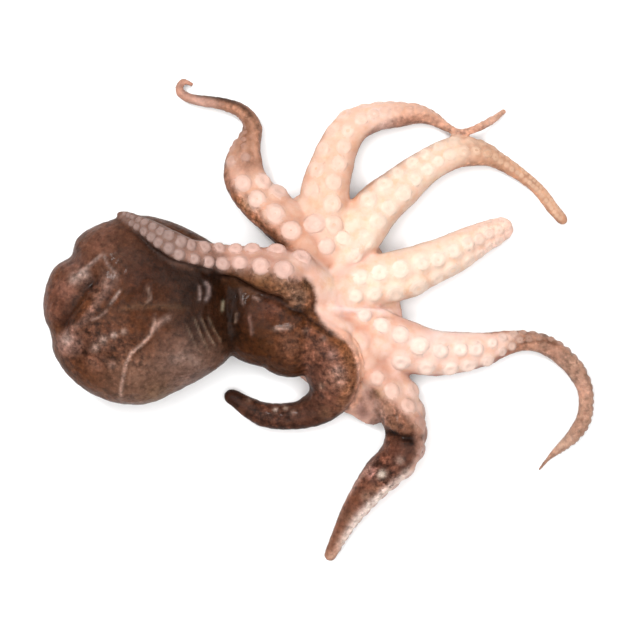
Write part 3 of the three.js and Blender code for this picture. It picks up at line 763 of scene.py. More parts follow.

# The folds and streaks that show: [name, height, half width, colour, its strength, line of x, y]. A fold
# without a colour of its own takes the skin's. Some of the colours are painted light: the pale lines of the
# V, the collar lines, the neck folds, the glint and the sheen are painted highlights, and the dark colour of
# the left lobe's valley, of the head and mantle under the folded arm and, in part, of the right arm's lower
# edge is painted shade.
folds = [
    # painted shade: the dark colour laid along the left lobe's valley
    ("left lobe's valley", -1.1, 1.4, "#24130d", 0.2,
     [(-58.8, -3.4), (-57.6, -1.0), (-55.6, 2.6), (-52.8, 6.6), (-49.4, 10.6)]),
    ("broad ridge beside it", 0.6, 1.3, None, 0,
     [(-57.3, -3.2), (-52.9, -0.5), (-49.7, 3.9), (-46.0, 8.7)]),
    # the pale lines of the V: a painted sheen along real creases
    ("left leg of the V", 0.35, 0.4, "#a0887e", 0.6,
     [(-56.0, 7.9), (-54.3, 9.4), (-51.6, 12.0), (-48.4, 14.8)]),
    ("right leg of the V", 0.2, 0.35, "#987e74", 0.45,
     [(-48.4, 14.8), (-47.8, 12.6), (-46.0, 10.4), (-45.4, 8.8)]),
    ("upper short crease", 0.35, 0.3, "#a08a80", 0.6,
     [(-44.6, 6.6), (-45.8, 4.9), (-47.2, 3.0)]),
    ("lower short crease", 0.35, 0.35, "#8e7469", 0.45,
     [(-47.2, 2.4), (-49.4, 0.5), (-51.5, -0.4)]),
    ("hooked crease", 0.3, 0.35, "#8f7466", 0.5,
     [(-38.7, 7.4), (-38.0, 4.6), (-39.1, 3.3)]),
    ("ridge across", 0.2, 0.6, "#7a5e48", 0.22,
     [(-45.8, 2.0), (-40.5, 2.9), (-34.0, 2.8), (-29.6, 2.6)]),
    ("long pale ridge", 0.6, 0.38, "#a98879", 0.75,
     [(-36.9, 1.0), (-37.2, -1.4), (-37.9, -3.5), (-40.2, -5.9), (-42.3, -7.6), (-43.5, -10.0), (-44.1, -12.9),
      (-44.5, -15.6), (-44.6, -18.6)]),
    ("flare of the ridge's top", 0.3, 0.7, "#9a7c70", 0.5,
     [(-37.6, -2.8), (-36.0, -0.8), (-33.2, 0.8)]),
    # collar lines: fine wrinkles with painted glints along them
    ("collar line 1", 0.3, 0.25, "#7a6353", 0.45,
     [(-30.2, -1.0), (-28.6, -4.4), (-26.6, -8.4)]),
    ("collar line 2", 0.3, 0.25, "#806957", 0.5,
     [(-28.4, 0.6), (-27.0, -3.0), (-25.0, -7.2)]),
    ("collar line 3", 0.3, 0.25, "#806957", 0.5,
     [(-26.9, 0.6), (-25.4, -2.8), (-23.3, -6.6)]),
    ("collar line 4", 0.3, 0.25, "#7a6450", 0.45,
     [(-25.2, 0.8), (-24.0, -2.0), (-21.9, -5.6)]),
    ("sheen of the mantle's lower right", 0, 1.2, "#8f776c", 0.4,
     [(-34.5, -9.5), (-30.0, -8.4), (-26.5, -10.4)]),
    ("left lid", 0.35, 0.4, "#857069", 0.65,
     [(-27.2, 7.6), (-26.9, 5.8), (-27.1, 4.0)]),
    ("right lid", 0.35, 0.45, "#8f7872", 0.7,
     [(-26.1, 8.6), (-25.0, 7.2), (-25.0, 5.4), (-25.8, 3.8)]),
    ("collar groove", 0, 1.4, "#1c0d06", 0.35,
     [(-19.6, 8.2), (-19.2, 5.5), (-19.5, 0.9), (-19.9, -2.8), (-20.4, -6.4)]),
    ("glint left of the collar", 0.25, 0.35, "#978a72", 0.65,
     [(-21.8, 4.2), (-21.9, 3.0), (-22.0, 1.6)]),
    # neck folds: low folds with painted glints along them
    ("upper neck fold and glint", 0.15, 0.35, "#7a6056", 0.45,
     [(-18.2, 7.0), (-17.7, 5.0), (-17.2, 2.8)]),
    ("middle neck fold and glint", 0.25, 0.35, "#7e6657", 0.4,
     [(-18.8, 1.6), (-18.9, 0.2), (-19.1, -1.0)]),
    ("right neck fold and glint", 0.35, 0.4, "#86655a", 0.4,
     [(-16.0, 1.0), (-15.6, -1.2), (-15.3, -4.0)]),
    ("bump behind the folded arm", 0.35, 0.5, "#9a7c70", 0.6,
     [(-15.4, 5.2), (-14.4, 4.8), (-13.2, 4.2)]),
    # painted shadow of the folded arm, darkening a real crease under it
    ("head under the folded arm", -0.8, 0.7, "#1f0c06", 0.75,
     [(-25.0, 10.0), (-19.0, 8.7), (-15.0, 6.3), (-12.0, 5.0), (-9.5, 4.3), (-6.5, 2.3), (-3.5, 1.6),
      (-1.8, -0.4), (0.4, -1.6), (3.0, -3.6), (5.4, -5.0)]),
    ("short ridge of the head", 0.35, 0.45, "#ab8b7d", 0.7,
     [(-10.7, -2.2), (-8.6, -2.1), (-6.2, -1.6)]),
    ("web's edge", 0.5, 0.75, "#e6af96", 0.95,
     [(2.4, -1.8), (4.4, -3.0), (6.9, -4.8), (8.2, -7.0), (8.8, -9.6), (9.3, -12.2), (9.0, -15.4),
      (7.7, -18.5), (6.2, -20.9)]),
    ("step beside the web's edge", -0.7, 0.6, "#4a2c1a", 0.5,
     [(-3.9, 9.4), (-1.9, 7.6), (-1.3, 4.7), (-1.3, 2.2), (-0.6, 0.4)]),
    ("fold of the web on the right", 0.6, 0.7, "#f7d8d2", 0.7,
     [(0.6, 2.6), (6.0, 2.2), (12.0, 1.8), (17.4, 1.4)]),
    ("furrow under it", -0.3, 0.4, "#d8ab9c", 0.4,
     [(2.6, 0.9), (9.0, 0.7), (16.6, 0.5)]),
    ("furrow of the web above", -0.4, 0.9, "#ebb3a4", 0.55,
     [(3.2, 8.9), (5.4, 11.0), (8.6, 13.0), (12.2, 15.2)]),
    ("crease of the bottom arm", -1.2, 0.75, "#1c0c06", 0.9,
     [(13.6, -24.8), (16.6, -26.0), (19.0, -26.6), (21.4, -26.6)]),
    ("second crease of the bottom arm", -0.6, 0.5, None, 0,
     [(9.6, -35.0), (12.4, -33.4), (16.0, -33.0)]),
    ("pale edge of the bottom arm", 0, 1.0, "#f3ddd1", 0.9,
     [(21.9, -32.4), (18.0, -36.2), (14.5, -38.8), (11.5, -41.4), (8.3, -44.8), (5.7, -49.2), (4.0, -53.0)]),
    ("edge above it", 0, 0.8, "#976c5c", 0.5,
     [(24.0, -25.0), (23.7, -28.8), (22.0, -32.2)]),
    ("brown core of the bottom arm's end", 0, 0.75, "#6a4030", 0.6,
     [(7.6, -39.8), (5.2, -44.4), (3.3, -48.6), (2.0, -52.6)]),
    ("left edge of the bottom arm", 0, 0.45, "#c99a88", 0.45,
     [(12.0, -31.6), (8.9, -35.4), (5.6, -40.0), (2.9, -45.0), (1.2, -49.0), (0.5, -52.6)]),
    ("brown streak of the upper left arm", -0.2, 0.6, "#8a5c42", 0.4,
     [(-16.0, 35.0), (-15.6, 39.5), (-16.4, 43.4), (-19.6, 45.8)]),
    ("dark rim of the upper left arm", 0, 0.6, "#38271f", 0.85,
     [(-29.0, 50.2), (-25.0, 49.9), (-22.0, 49.4), (-19.0, 48.5), (-16.4, 46.8), (-14.6, 44.6)]),
    ("groove along the upper left arm", -0.3, 0.4, "#6e4634", 0.55,
     [(-18.6, 37.0), (-17.0, 39.8), (-16.8, 42.4), (-18.6, 44.6), (-21.6, 46.3)]),
    ("ridge beside that groove", 0.3, 0.45, "#bb8a70", 0.5,
     [(-14.2, 35.2), (-14.3, 39.0), (-14.2, 42.2), (-16.0, 44.8), (-19.4, 46.8)]),
    ("furrow of the upper left arm", -0.4, 0.4, "#5c3822", 0.6,
     [(-17.2, 28.4), (-15.2, 26.2), (-13.0, 23.4)]),
    # partly the brown skin of the flank, partly painted shadow along the lower edge
    ("lower edge of the right arm", 0, 0.55, "#8f5344", 0.75,
     [(17.2, -11.0), (19.2, -12.2), (23.7, -12.9), (29.2, -12.8), (33.3, -11.6), (37.4, -9.9), (40.8, -7.9),
      (43.6, -6.3)]),
    ("left edge of the top arm", 0, 0.45, "#a0694c", 0.6,
     [(-5.4, 27.6), (-4.2, 31.4), (-2.0, 36.6), (0.6, 41.0), (3.4, 44.6)]),
    ("upper edge of the upper right arm", 0, 0.45, "#9a6c54", 0.6,
     [(6.2, 26.2), (8.8, 28.2), (13.0, 31.6), (17.6, 34.9), (22.6, 38.4), (28.6, 41.2)]),
    # painted shadow under the folded arm's end, darkening a shallow groove
    ("mantle under the folded arm's end", -0.6, 0.6, "#150a05", 0.8,
     [(-23.0, 10.6), (-28.9, 11.9), (-34.1, 13.3), (-37.8, 15.9), (-40.7, 18.8), (-43.0, 20.8)]),
    ("furrow of the right arm's turn", -0.3, 0.4, "#5a3524", 0.7,
     [(43.2, -6.3), (46.4, -5.0), (50.4, -4.6), (54.0, -6.4)]),
]


# the relief of all the folds, and how strongly each fold reaches each vertex
def foldsRelief(places, facing):
    upper = smooth(0.05, 0.5, facing[:, 2])
    relief = np.zeros(len(places))
    reaches = []
    for _, height, halfWidth, _, _, line in folds:
        gap, share = lineTerms(places, line)
        fade = 0.15 + 0.85 * smooth(0, 0.14, np.minimum(share, 1 - share))
        reaches.append(np.exp(-((gap / halfWidth) ** 2)) * fade)
        relief += height * reaches[-1] * upper
    return relief, reaches


# Low relief of the skin, sizes and heights in millimetres: slow bulges, fine wrinkles that are higher where
# the skin is pigmented, warts on the mantle's lower left, and fine rings round the arms.
bulges = {"size": 6.0, "height": 0.16}
wrinkles = {"size": 1.3, "height": 0.03, "pigmented": 0.07}
warts = {"centre": (-47.5, -6.0), "radius": 5.0, "size": 1.5, "height": 0.35}
rings = {"spacing": 0.8, "height": 0.09, "fullWidth": 6.0}


def noiseRelief(places, pigment):
    relief = np.empty(len(places))
    for i, place in enumerate(places):
        bulge = noise.fractal(place / bulges["size"], 1.0, 2.0, 2)
        wrinkle = noise.fractal(place / wrinkles["size"], 1.0, 2.0, 2)
        height = wrinkles["height"] + wrinkles["pigmented"] * pigment[i]
        relief[i] = bulges["height"] * bulge + height * wrinkle
    return relief


def wartRelief(places, facing):
    patch = around(places, *warts["centre"], warts["radius"]) * smooth(0.1, 0.5, facing[:, 2])
    relief = np.zeros(len(places))
    for i in np.flatnonzero(patch > 0.05):
        relief[i] = patch[i] * warts["height"] * noise.noise(places[i] / warts["size"]) * 2
    return relief


def ringRelief():
    relief = np.zeros(len(places))
    nearest = np.min([limb["terms"]["rho"] for limb in limbs.values()], axis=0)
    for k, limb in enumerate(limbs.values()):
        terms = limb["terms"]
        own = np.exp(-((terms["rho"] - nearest) / 0.1) ** 2)
        for i in np.flatnonzero(own > 0.3):
            wave = noise.noise((terms["s"][i] / rings["spacing"], terms["across"][i] * 1.2, k * 7.3))
            width = limb["sections"]["width"][terms["nearest"][i]]
            relief[i] += rings["height"] * wave * own[i] * min(1.0, width / rings["fullWidth"])
    return relief


# Suckers: two rows that alternate along each arm, each a low soft dome with a small pit on a mound of
# flesh. Near the mouth they start at rootShare of their size, and grow over grownBy. Sizes, squash and
# wander are the chance differences of their diameters, outlines and places round the arm, in degrees.
# Crowding is how near two may stand, against their diameters, and unevenness how rough the ground under one
# may be. Mound is its height and reach, against the diameter. Paleness is how far a dome's own colour
# stands out of the flesh round it, for a small and a large one. Lean is how far those that stand higher
# than usual are turned up. First is how far from the root they start and smallest the least diameter made,
# in millimetres.
sucker = {
    "rootShare": 0.85, "grownBy": 8.0, "pitch": (1.15, 1.0), "rowAngle": 65, "first": 4.0, "smallest": 0.75,
    "sizes": (0.92, 1.08), "squash": (0.9, 1.04), "wander": 4, "crowding": 0.41, "unevenness": 0.5,
    "mound": 0.15, "moundReach": 0.62, "paleness": (0.45, 0.75), "dimming": (0.95, 1.04), "seed": 5,
    # profile of [radius, height, rim], as shares of the radius: foot, skirt, flank, crown, lip of the pit.
    # Foot and skirt, rings 0 and 1, are laid on the skin, this far over it in millimetres. Throat is
    # [height, rim].
    "segments": 12, "lean": 0.35, "laid": {0: -0.35, 1: 0.03}, "throat": (0.11, 0.85),
    "profile": [(1.2, -0.1, 0.0), (1.02, 0.0, 0.2), (0.84, 0.09, 0.65), (0.55, 0.17, 1.0), (0.25, 0.16, 0.95)],
}


# the skin as it stands now, for rays and nearest points
def surfaceTree():
    return BVHTree.FromPolygons(
        [Vector(p) for p in places], [tuple(p.vertices) for p in skin.data.polygons])


# where suckers can stand, with the size, the direction and the colour of each
def findSuckers():
    surface = surfaceTree()
    draw = random.Random(sucker["seed"])
    found = []
    for limb in limbs.values():
        if "suckers" not in limb:
            continue
        rootTone, tipTone, turnsFrom, turnsTo = limb["suckers"]
        rootTone, tipTone = linear(rootTone), linear(tipTone)
        sections = limb["sections"]
        spacing, length = sections["s"][1], sections["s"][-1]
        at, row = limb.get("firstSucker", sucker["first"]), 0
        while at < length:
            i = min(int(at / spacing), len(sections["s"]) - 1)
            grown = sucker["rootShare"] + (1 - sucker["rootShare"]) * min(1.0, at / sucker["grownBy"])
            cup = np.interp(at / length, *zip(*limb["cup"]))
            size = sections["width"][i] * cup * grown * draw.uniform(*sucker["sizes"])
            wide, narrow = limb.get("pitch", sucker["pitch"])
            at += max(0.35, size * (wide + (narrow - wide) * at / length) / 2)
            row += 1
            if size < sucker["smallest"]:
                continue
            share = at / length
            rowAngle = math.radians(sucker["rowAngle"] + draw.uniform(-sucker["wander"], sucker["wander"]))
            shift = math.radians(np.interp(share, *zip(*limb.get("shift", [(0, 0)]))))
            angle = (rowAngle if row % 2 else math.pi - rowAngle) + shift
            place = Vector(outlinePoint(sections, i, angle))
            out = (Vector(outlinePoint(sections, i, angle, 1.3)) - place).normalized()
            hit, normal, _, _ = surface.ray_cast(place + out * 3, -out, 6)
            if hit is None or (hit - place).length > 0.3 * sections["width"][i] + 0.4:
                continue  # no skin near this spot of the arm's outline, as where another part covers it
            out = (out + normal).normalized()
            apart = [(hit - one["place"]).length / (size + one["size"]) for one in found]
            if min(apart, default=1) < sucker["crowding"] or hit.z < size * 0.35 or out.z < -0.45:
                continue  # too near another sucker or the table, or facing down
            turned = smooth(turnsFrom, turnsTo, share)
            found.append({
                "place": hit, "out": out, "size": size, "turn": draw.uniform(0, 6.28),
                "squash": draw.uniform(*sucker["squash"]), "bead": limb.get("bead", 1),
                "tone": rootTone + (tipTone - rootTone) * turned,
            })
    return found


# lays each sucker on the finished skin: its foot is levelled to the skin at eight points round it, and
# takes the skin's colour there
def seatSuckers(found):
    surface = surfaceTree()
    seated = []
    for one in found:
        side = one["out"].orthogonal().normalized()
        other = one["out"].cross(side)
        foot, tones = [], []
        for k in range(8):
            turn = k * math.pi / 4
            start = one["place"] + (side * math.cos(turn) + other * math.sin(turn)) * one["size"] * 0.47
            hit, _, face, _ = surface.ray_cast(start + one["out"] * 2, -one["out"], 4)
            if hit is not None:
                foot.append(hit)
                tones.append(tone[skin.data.polygons[face].vertices[0]])
        if len(foot) < 8:
            continue
        heights = [(hit - one["place"]).dot(one["out"]) for hit in foot]
        if max(heights) - min(heights) > sucker["unevenness"] * one["size"]:
            continue
        across = [foot[k] - foot[k + 4] for k in range(4)]
        level = across[0].cross(across[2]) + across[1].cross(across[3])
        level = level.normalized() * (1 if level.dot(one["out"]) > 0 else -1)
        one["out"] = (level + Vector((0, 0, sucker["lean"] * (one["bead"] - 1)))).normalized()
        one["place"] = sum(foot, Vector()) / 8
        one["flesh"] = np.mean(tones, axis=0)
        seated.append(one)
    return seated


suckers = findSuckers()
print("suckers found:", len(suckers))


# the flesh swells round each sucker and takes on its colour there, and blushes between them
def suckerMounds(places):
    relief = np.zeros(len(places))
    blush = np.zeros(len(places))
    halo = np.zeros(len(places))
    cupTone = np.zeros((len(places), 3))
    for one in suckers:
        gap = np.linalg.norm(places - np.array(one["place"]), axis=1) / one["size"]
        swell = np.exp(-((gap / sucker["moundReach"]) ** 4))
        relief = np.maximum(relief, sucker["mound"] * one["size"] * swell)
        blush = np.maximum(blush, np.exp(-(((gap - 0.72) / 0.18) ** 2)))
        near = swell > halo
        halo[near] = swell[near]
        cupTone[near] = one["tone"]
    return relief, blush, halo, cupTone


foldRelief, foldReaches = foldsRelief(places, facing)
mound, blush, halo, cupTone = suckerMounds(places)
relief = foldRelief + noiseRelief(places, pigment) + wartRelief(places, facing) + ringRelief() + mound
lift = smooth(0, 1.2, places[:, 2])
places = places + facing * (relief * lift)[:, None]
places = relax(places, edges, 1, 0.4)
setPlaces(places)

# Painted light and shade on the skin: valleys of the pigmented skin are darkened as painted shade and its
# crests paled as a painted highlight. Pale flesh blushes between the suckers and takes their colour on the
# mounds, and flanks that turn away from straight up are a little darker, partly the darker skin of the sides
# and partly painted shade at the outline.
shades = {
    "valley": 0.35, "crest": 0.5, "crestHighlightTone": "#b8958a", "crestShare": 0.3, "blush": (0.98, 0.92, 0.88),
    "mound": 0.45, "flank": 0.28,
}


def shadeRelief(tone):
    valley, crest = smooth(-0.2, -1.0, foldRelief), smooth(0.15, 0.7, foldRelief)
    # painted shade in the valleys of the folds
    tone = tone * (1 - shades["valley"] * valley * pigment)[:, None]
    # painted highlight on the crests of the folds
    crestHighlightTone = tone * (1 - shades["crestShare"]) + linear(shades["crestHighlightTone"]) * shades["crestShare"]
    tone = mix(tone, crestHighlightTone, crest * pigment * shades["crest"])
    tone = mix(tone, tone * np.array(shades["blush"]), blush * (1 - halo) * (1 - 0.5 * pigment))
    tone = mix(tone, cupTone, shades["mound"] * halo * (1 - 0.6 * pigment))
    # flanks darker: partly the sides' own darker skin, partly painted shade at the outline
    return tone * (1 - shades["flank"] * smooth(0.42, 0.05, facing[:, 2]))[:, None]


tone = shadeRelief(tone)
# each fold's colour is laid on: skin colours, and the painted glints, sheen and shadow noted in the list
for (_, _, _, hexColour, strength, _), reach in zip(folds, foldReaches):
    if hexColour:
        tone = mix(tone, linear(hexColour), strength * reach * smooth(-0.35, 0.05, facing[:, 2]))
print("skin shaded")

suckers = seatSuckers(suckers)
print("suckers seated:", len(suckers))


# The tones above are as the eye sees them under the bright studio light, which is this much over white.
lightGain = 1.35


# the tone's fourth channel is the strength of the mottling
def storeLooks(mesh, tone, pigment, mottled):
    colour = mesh.attributes.new("tone", "FLOAT_COLOR", "POINT")
    rgba = np.concatenate([np.clip(tone / lightGain, 0, 1), mottled[:, None]], axis=1)
    colour.data.foreach_set("color", rgba.astype(np.float32).ravel())
    mesh.attributes.new("pigment", "FLOAT", "POINT").data.foreach_set("value", pigment.astype(np.float32))


storeLooks(skin.data, tone, pigment, mottled)
skin.data.shade_smooth()
print("skin finished")


# sorts the faces of a sucker from its foot up, and round each ring
def upAndRound(face):
    middle = face.calc_center_median()
    return 1000 * middle.z + math.atan2(middle.y, middle.x)


# one sucker of radius 1 standing on z = 0: rings drawn up and in from its foot to its throat
def suckerTemplate():
    bm = bmesh.new()
    rimOf = bm.verts.layers.float.new("rim")
    ring = bmesh.ops.create_circle(bm, cap_ends=True, segments=sucker["segments"], radius=1)["verts"]
    edges = list(ring[0].link_faces[0].edges)
    for e in edges:
        e.smooth = False  # extruding copies this, so every ring of the dome is a crisp edge
    radius, height, rim = sucker["profile"][0]
    for v in ring:
        v[rimOf] = rim
    bmesh.ops.scale(bm, vec=(radius, radius, 1), verts=ring)
    bmesh.ops.translate(bm, vec=(0, 0, height), verts=ring)
    for nextRadius, nextHeight, rim in sucker["profile"][1:]:
        grown = bmesh.ops.extrude_edge_only(bm, edges=edges)["geom"]
        ring = [g for g in grown if isinstance(g, bmesh.types.BMVert)]
        edges = [g for g in grown if isinstance(g, bmesh.types.BMEdge)]
        bmesh.ops.scale(bm, vec=(nextRadius / radius, nextRadius / radius, 1), verts=ring)
        bmesh.ops.translate(bm, vec=(0, 0, nextHeight - height), verts=ring)
        for v in ring:
            v[rimOf] = rim
        radius, height = nextRadius, nextHeight
    throat = bmesh.ops.contextual_create(bm, geom=edges)["faces"]
    middle = bmesh.ops.poke(bm, faces=throat)["verts"]
    for v in middle:
        v.co.z, v[rimOf] = sucker["throat"]
    bmesh.ops.recalc_face_normals(bm, faces=bm.faces)
    bm.faces.sort(key=upAndRound)  # extruding leaves them in an order that changes from run to run
    return bm


def buildSuckers():
    template = suckerTemplate()
    surface = surfaceTree()
    joined = bmesh.new()
    piece = bpy.data.meshes.new("oneSucker")
    for one in suckers:
        copy = template.copy()
        lean = one["out"].to_track_quat("Z", "Y").to_matrix().to_4x4()
        radius = one["size"] / 2
        size = Matrix.Diagonal((radius, radius * one["squash"], radius * one["bead"], 1))
        turn = Matrix.Rotation(one["turn"], 4, "Z")
        copy.transform(Matrix.Translation(one["place"]) @ lean @ turn @ size)
        copy.verts.ensure_lookup_table()
        one["under"] = []
        for ring, over in sucker["laid"].items():
            for v in copy.verts[ring * sucker["segments"]:(ring + 1) * sucker["segments"]]:
                place, normal, face, _ = surface.find_nearest(v.co)
                v.co = place + normal * over
                one["under"].append(tone[skin.data.polygons[face].vertices[0]])
        copy.to_mesh(piece)
        joined.from_mesh(piece)
        copy.free()
    template.free()
    bpy.data.meshes.remove(piece)
    bmesh.ops.scale(joined, vec=(mm, mm, mm), verts=joined.verts)
    return meshObject("suckers", joined)


# each dome in its own colour, running at the foot into the colour of the skin under it
def paintSuckers(mesh):
    perSucker = len(mesh.vertices) // len(suckers)
    rim = np.empty(len(mesh.vertices), np.float32)
    mesh.attributes["rim"].data.foreach_get("value", rim)
    small, large = sucker["paleness"]
    paleness = small + (large - small) * smooth(1.0, 3.0, np.array([one["size"] for one in suckers]))
    flesh = np.array([one["flesh"] for one in suckers])
    cups = mix(flesh, np.array([one["tone"] for one in suckers]), paleness)
    cups, foot = np.repeat(cups, perSucker, axis=0), np.repeat(flesh, perSucker, axis=0)
    under = np.array([one["under"] for one in suckers])
    foot.reshape(len(suckers), perSucker, 3)[:, :under.shape[1]] = under
    dimmed = np.repeat([random.Random(i).uniform(*sucker["dimming"]) for i in range(len(suckers))], perSucker)
    painted = mix(foot, cups * dimmed[:, None], rim)
    storeLooks(mesh, painted, np.zeros(len(painted)), np.ones(len(painted)))


suckerPiece = buildSuckers()
paintSuckers(suckerPiece.data)
suckerPiece.data.shade_smooth()
print("suckers built:", len(suckerPiece.data.polygons), "faces")


# a node of this kind, with settings for its properties or sockets and links into the named sockets
def addNode(material, kind, settings=None, **links):
    node = material.node_tree.nodes.new(kind)
    for name, value in (settings or {}).items():
        if name in node.inputs:
            node.inputs[name].default_value = value
        else:
            setattr(node, name, value)
    for name, source in links.items():
        material.node_tree.links.new(source, node.inputs[name])
    return node


# puts a number, a colour or another node's output into a socket
def feed(material, socket, source):
    if isinstance(source, bpy.types.NodeSocket):
        material.node_tree.links.new(source, socket)
    else:
        socket.default_value = (*source, 1) if isinstance(source, tuple) else source


def math2(material, operation, a, b):
    node = addNode(material, "ShaderNodeMath", {"operation": operation})
    feed(material, node.inputs[0], a)
    feed(material, node.inputs[1], b)
    return node.outputs[0]


def ranged(material, value, low, high, toLow, toHigh):
    limits = {"From Min": low, "From Max": high, "To Min": toLow, "To Max": toHigh}
    return addNode(material, "ShaderNodeMapRange", limits, Value=value).outputs["Result"]


def blended(material, blend, share, a, b):
    node = addNode(material, "ShaderNodeMix", {"data_type": "RGBA", "blend_type": blend})
    feed(material, node.inputs[0], share)
    feed(material, node.inputs[6], a)
    feed(material, node.inputs[7], b)
    return node.outputs[2]


def newMaterial(name, roughness, shader):
    material = bpy.data.materials.new(name)
    material.use_nodes = True
    material.node_tree.nodes.clear()
    out = addNode(material, "ShaderNodeOutputMaterial")
    principled = addNode(material, "ShaderNodeBsdfPrincipled", {"Roughness": roughness, **shader})
    material.node_tree.links.new(principled.outputs["BSDF"], out.inputs["Surface"])
    return material, principled


# Wet octopus skin: thin, slimy and a little see-through, so light soaks in and blurs, and a film of water
# gives small glints on every wrinkle. The brown side is marbled and freckled, and its pale flecks are partly
# the skin's tan flecks and partly painted glints; the pale one is clouded with cream and peach. A cloudy
# pattern is [size in mm, noise from, to, value from, to], freckle is the dots' size in mm.
wetSkin = {
    "roughness": 0.45, "freckle": 0.9,
    "marble": (5.0, 0.32, 0.68, 0.75, 1.28), "speckle": (1.3, 0.34, 0.66, 0.4, 1.7),
    "flecksAndGlints": (1.1, 0.54, 0.68, 0.0, 1.0), "fleckAndGlintTint": (1.75, 1.75, 1.8), "freckleTint": (0.35, 0.3, 0.28),
    "peach": (2.4, 0.45, 0.65, 0.0, 1.0), "peachTint": (0.97, 0.88, 0.8),
    "cream": (3.2, 0.48, 0.66, 0.0, 1.0), "creamTint": (1.02, 1.08, 1.06),
    "grain": (0.4, 0.0, 1.0, 0.0, 1.0), "grainHeight": 0.08,
    "wrinkle": (1.1, 0.0, 1.0, 0.0, 1.0), "wrinkleHeight": 0.35,
    "shader": {
        "IOR": 1.36, "Specular IOR Level": 0.06,
        "Subsurface Weight": 0.25, "Subsurface Radius": (1.0, 0.45, 0.3), "Subsurface Scale": 1.0 * mm,
        "Coat Weight": 0.13, "Coat Roughness": 0.1, "Coat IOR": 1.33,
    },
}


def skinMaterial():
    material, principled = newMaterial("wetOctopusSkin", wetSkin["roughness"], wetSkin["shader"])
    where = addNode(material, "ShaderNodeTexCoord").outputs["Object"]
    pigmentIn = addNode(material, "ShaderNodeAttribute", {"attribute_name": "pigment"}).outputs["Fac"]
    fleshy = math2(material, "SUBTRACT", 1.0, pigmentIn)
    toneIn = addNode(material, "ShaderNodeAttribute", {"attribute_name": "tone"})
    colour, mottle = toneIn.outputs["Color"], toneIn.outputs["Alpha"]

    def clouds(pattern):
        size, *limits = wetSkin[pattern]
        settings = {"Scale": 1 / (size * mm), "Detail": 4.0, "Roughness": 0.6}
        texture = addNode(material, "ShaderNodeTexNoise", settings, Vector=where)
        return ranged(material, texture.outputs["Fac"], *limits)

    speckle = math2(material, "POWER", clouds("speckle"), mottle)
    marble = math2(material, "MULTIPLY", clouds("marble"), speckle)
    colour = blended(material, "MULTIPLY", pigmentIn, colour, marble)
    # pale flecks on the pigmented skin: partly tan flecks, partly painted glints
    flecksAndGlints = math2(material, "MULTIPLY", math2(material, "MULTIPLY", clouds("flecksAndGlints"), mottle), pigmentIn)
    colour = blended(material, "MULTIPLY", flecksAndGlints, colour, wetSkin["fleckAndGlintTint"])
    cells = addNode(material, "ShaderNodeTexVoronoi", {"Scale": 1 / (wetSkin["freckle"] * mm)}, Vector=where)
    dots = ranged(material, cells.outputs["Distance"], 0.1, 0.5, 0.35, 0.0)
    dots = math2(material, "MULTIPLY", math2(material, "MULTIPLY", dots, mottle), pigmentIn)
    colour = blended(material, "MULTIPLY", dots, colour, wetSkin["freckleTint"])
    for pattern in ("peach", "cream"):
        cloud = math2(material, "MULTIPLY", clouds(pattern), fleshy)
        colour = blended(material, "MULTIPLY", cloud, colour, wetSkin[pattern + "Tint"])
    material.node_tree.links.new(colour, principled.inputs["Base Color"])

    grain = {"Distance": wetSkin["grainHeight"] * mm, "Strength": 0.5}
    fine = addNode(material, "ShaderNodeBump", grain, Height=clouds("grain"))
    deep = ranged(material, pigmentIn, 0.0, 1.0, 0.15, 0.75)
    wrinkled = addNode(material, "ShaderNodeBump", {"Distance": wetSkin["wrinkleHeight"] * mm}, Strength=deep,
                       Height=clouds("wrinkle"), Normal=fine.outputs["Normal"])
    material.node_tree.links.new(wrinkled.outputs["Normal"], principled.inputs["Normal"])
    return material


# Sucker flesh: firmer and paler than the skin, smooth, with a moist sheen on the rims.
suckerFlesh = {
    "roughness": 0.4, "clouding": 1.6,
    "shader": {
        "IOR": 1.38, "Specular IOR Level": 0.3,
        "Subsurface Weight": 0.12, "Subsurface Radius": (1.0, 0.55, 0.4), "Subsurface Scale": 0.6 * mm,
        "Coat Weight": 0.15, "Coat Roughness": 0.25, "Coat IOR": 1.33,
    },
}


def suckerMaterial():
    material, principled = newMaterial("moistSuckerFlesh", suckerFlesh["roughness"], suckerFlesh["shader"])
    where = addNode(material, "ShaderNodeTexCoord").outputs["Object"]
    colour = addNode(material, "ShaderNodeAttribute", {"attribute_name": "tone"}).outputs["Color"]
    cloud = addNode(material, "ShaderNodeTexNoise",
                    {"Scale": 1 / (suckerFlesh["clouding"] * mm), "Detail": 3.0}, Vector=where).outputs["Fac"]
    colour = blended(material, "MULTIPLY", 1.0, colour, ranged(material, cloud, 0.3, 0.7, 0.88, 1.06))
    material.node_tree.links.new(colour, principled.inputs["Base Color"])
    bump = addNode(material, "ShaderNodeBump", {"Distance": 0.06 * mm, "Strength": 0.3}, Height=cloud)
    material.node_tree.links.new(bump.outputs["Normal"], principled.inputs["Normal"])
    return material


# White board under the animal: matt, so it takes only a faint soft shadow.
def floorMaterial():
    return newMaterial("mattWhiteBoard", 0.9, {"Base Color": (0.93, 0.93, 0.93, 1)})[0]


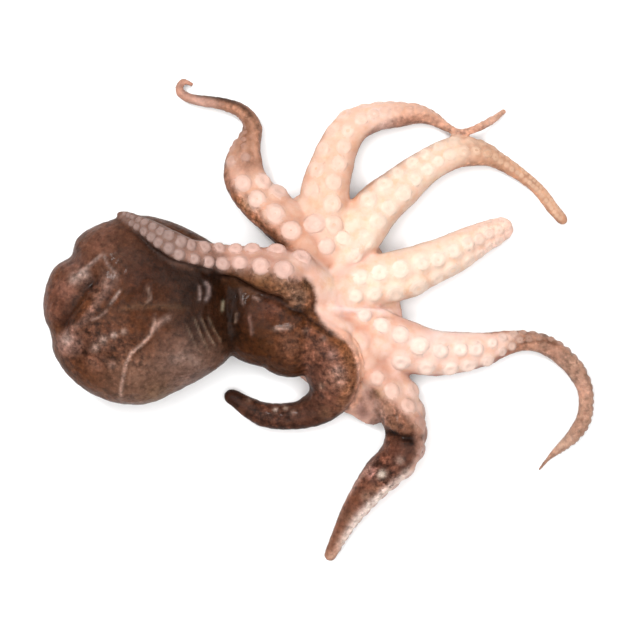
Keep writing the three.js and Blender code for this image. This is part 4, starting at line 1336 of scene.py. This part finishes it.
skin.data.materials.clear()
skin.data.materials.append(skinMaterial())
suckerPiece.data.materials.append(suckerMaterial())

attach(skin, "root")
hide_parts("octopus")
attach(suckerPiece, "root")
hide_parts("octopus")
print("pieces attached")

# Floor, light and camera, in metres. The board lies a hair below the flesh that rests on it, floorDrop in
# millimetres. Each softbox is [name, place, size, power].
stage = {
    "floorHalf": 1.5, "floorDrop": 0.05, "skyStrength": 0.2, "lens": 100, "sensor": 36, "viewWidth": 0.143,
    "softboxes": [("key", (-0.40, 0.42, 0.72), 0.16, 3.6)] + [
        ("fill" + str(i), (0.36 * math.cos(i * math.pi / 3), 0.36 * math.sin(i * math.pi / 3), 0.66), 0.5, 1.55)
        for i in range(6)
    ],
}


def addSoftbox(name, place, size, power):
    light = bpy.data.lights.new(name, "AREA")
    light.energy = power
    light.size = size
    lamp = bpy.data.objects.new(name, light)
    lamp.location = place
    lamp.rotation_euler = (-Vector(place)).to_track_quat("-Z", "Y").to_euler()
    bpy.context.scene.collection.objects.link(lamp)


def buildStage():
    bm = bmesh.new()
    bmesh.ops.create_grid(bm, x_segments=1, y_segments=1, size=stage["floorHalf"])
    bmesh.ops.translate(bm, vec=(0, 0, -stage["floorDrop"] * mm), verts=bm.verts)
    floor = meshObject("floor", bm)
    floor.data.materials.append(floorMaterial())

    world = bpy.data.worlds.new("studio")
    world.use_nodes = True
    sky = world.node_tree.nodes["Background"]
    sky.inputs["Color"].default_value = (1, 1, 1, 1)
    sky.inputs["Strength"].default_value = stage["skyStrength"]
    bpy.context.scene.world = world

    for softbox in stage["softboxes"]:
        addSoftbox(*softbox)

    low, high = cadBox
    camera = bpy.data.cameras.new("camera")
    camera.lens = stage["lens"]
    camera.sensor_width = stage["sensor"]
    camera.clip_start = 0.01
    looker = bpy.data.objects.new("camera", camera)
    distance = stage["viewWidth"] * stage["lens"] / stage["sensor"]
    looker.location = ((low.x + high.x) / 2, (low.y + high.y) / 2, distance)
    bpy.context.scene.collection.objects.link(looker)
    bpy.context.scene.camera = looker
    bpy.context.scene.view_settings.view_transform = "Standard"


buildStage()
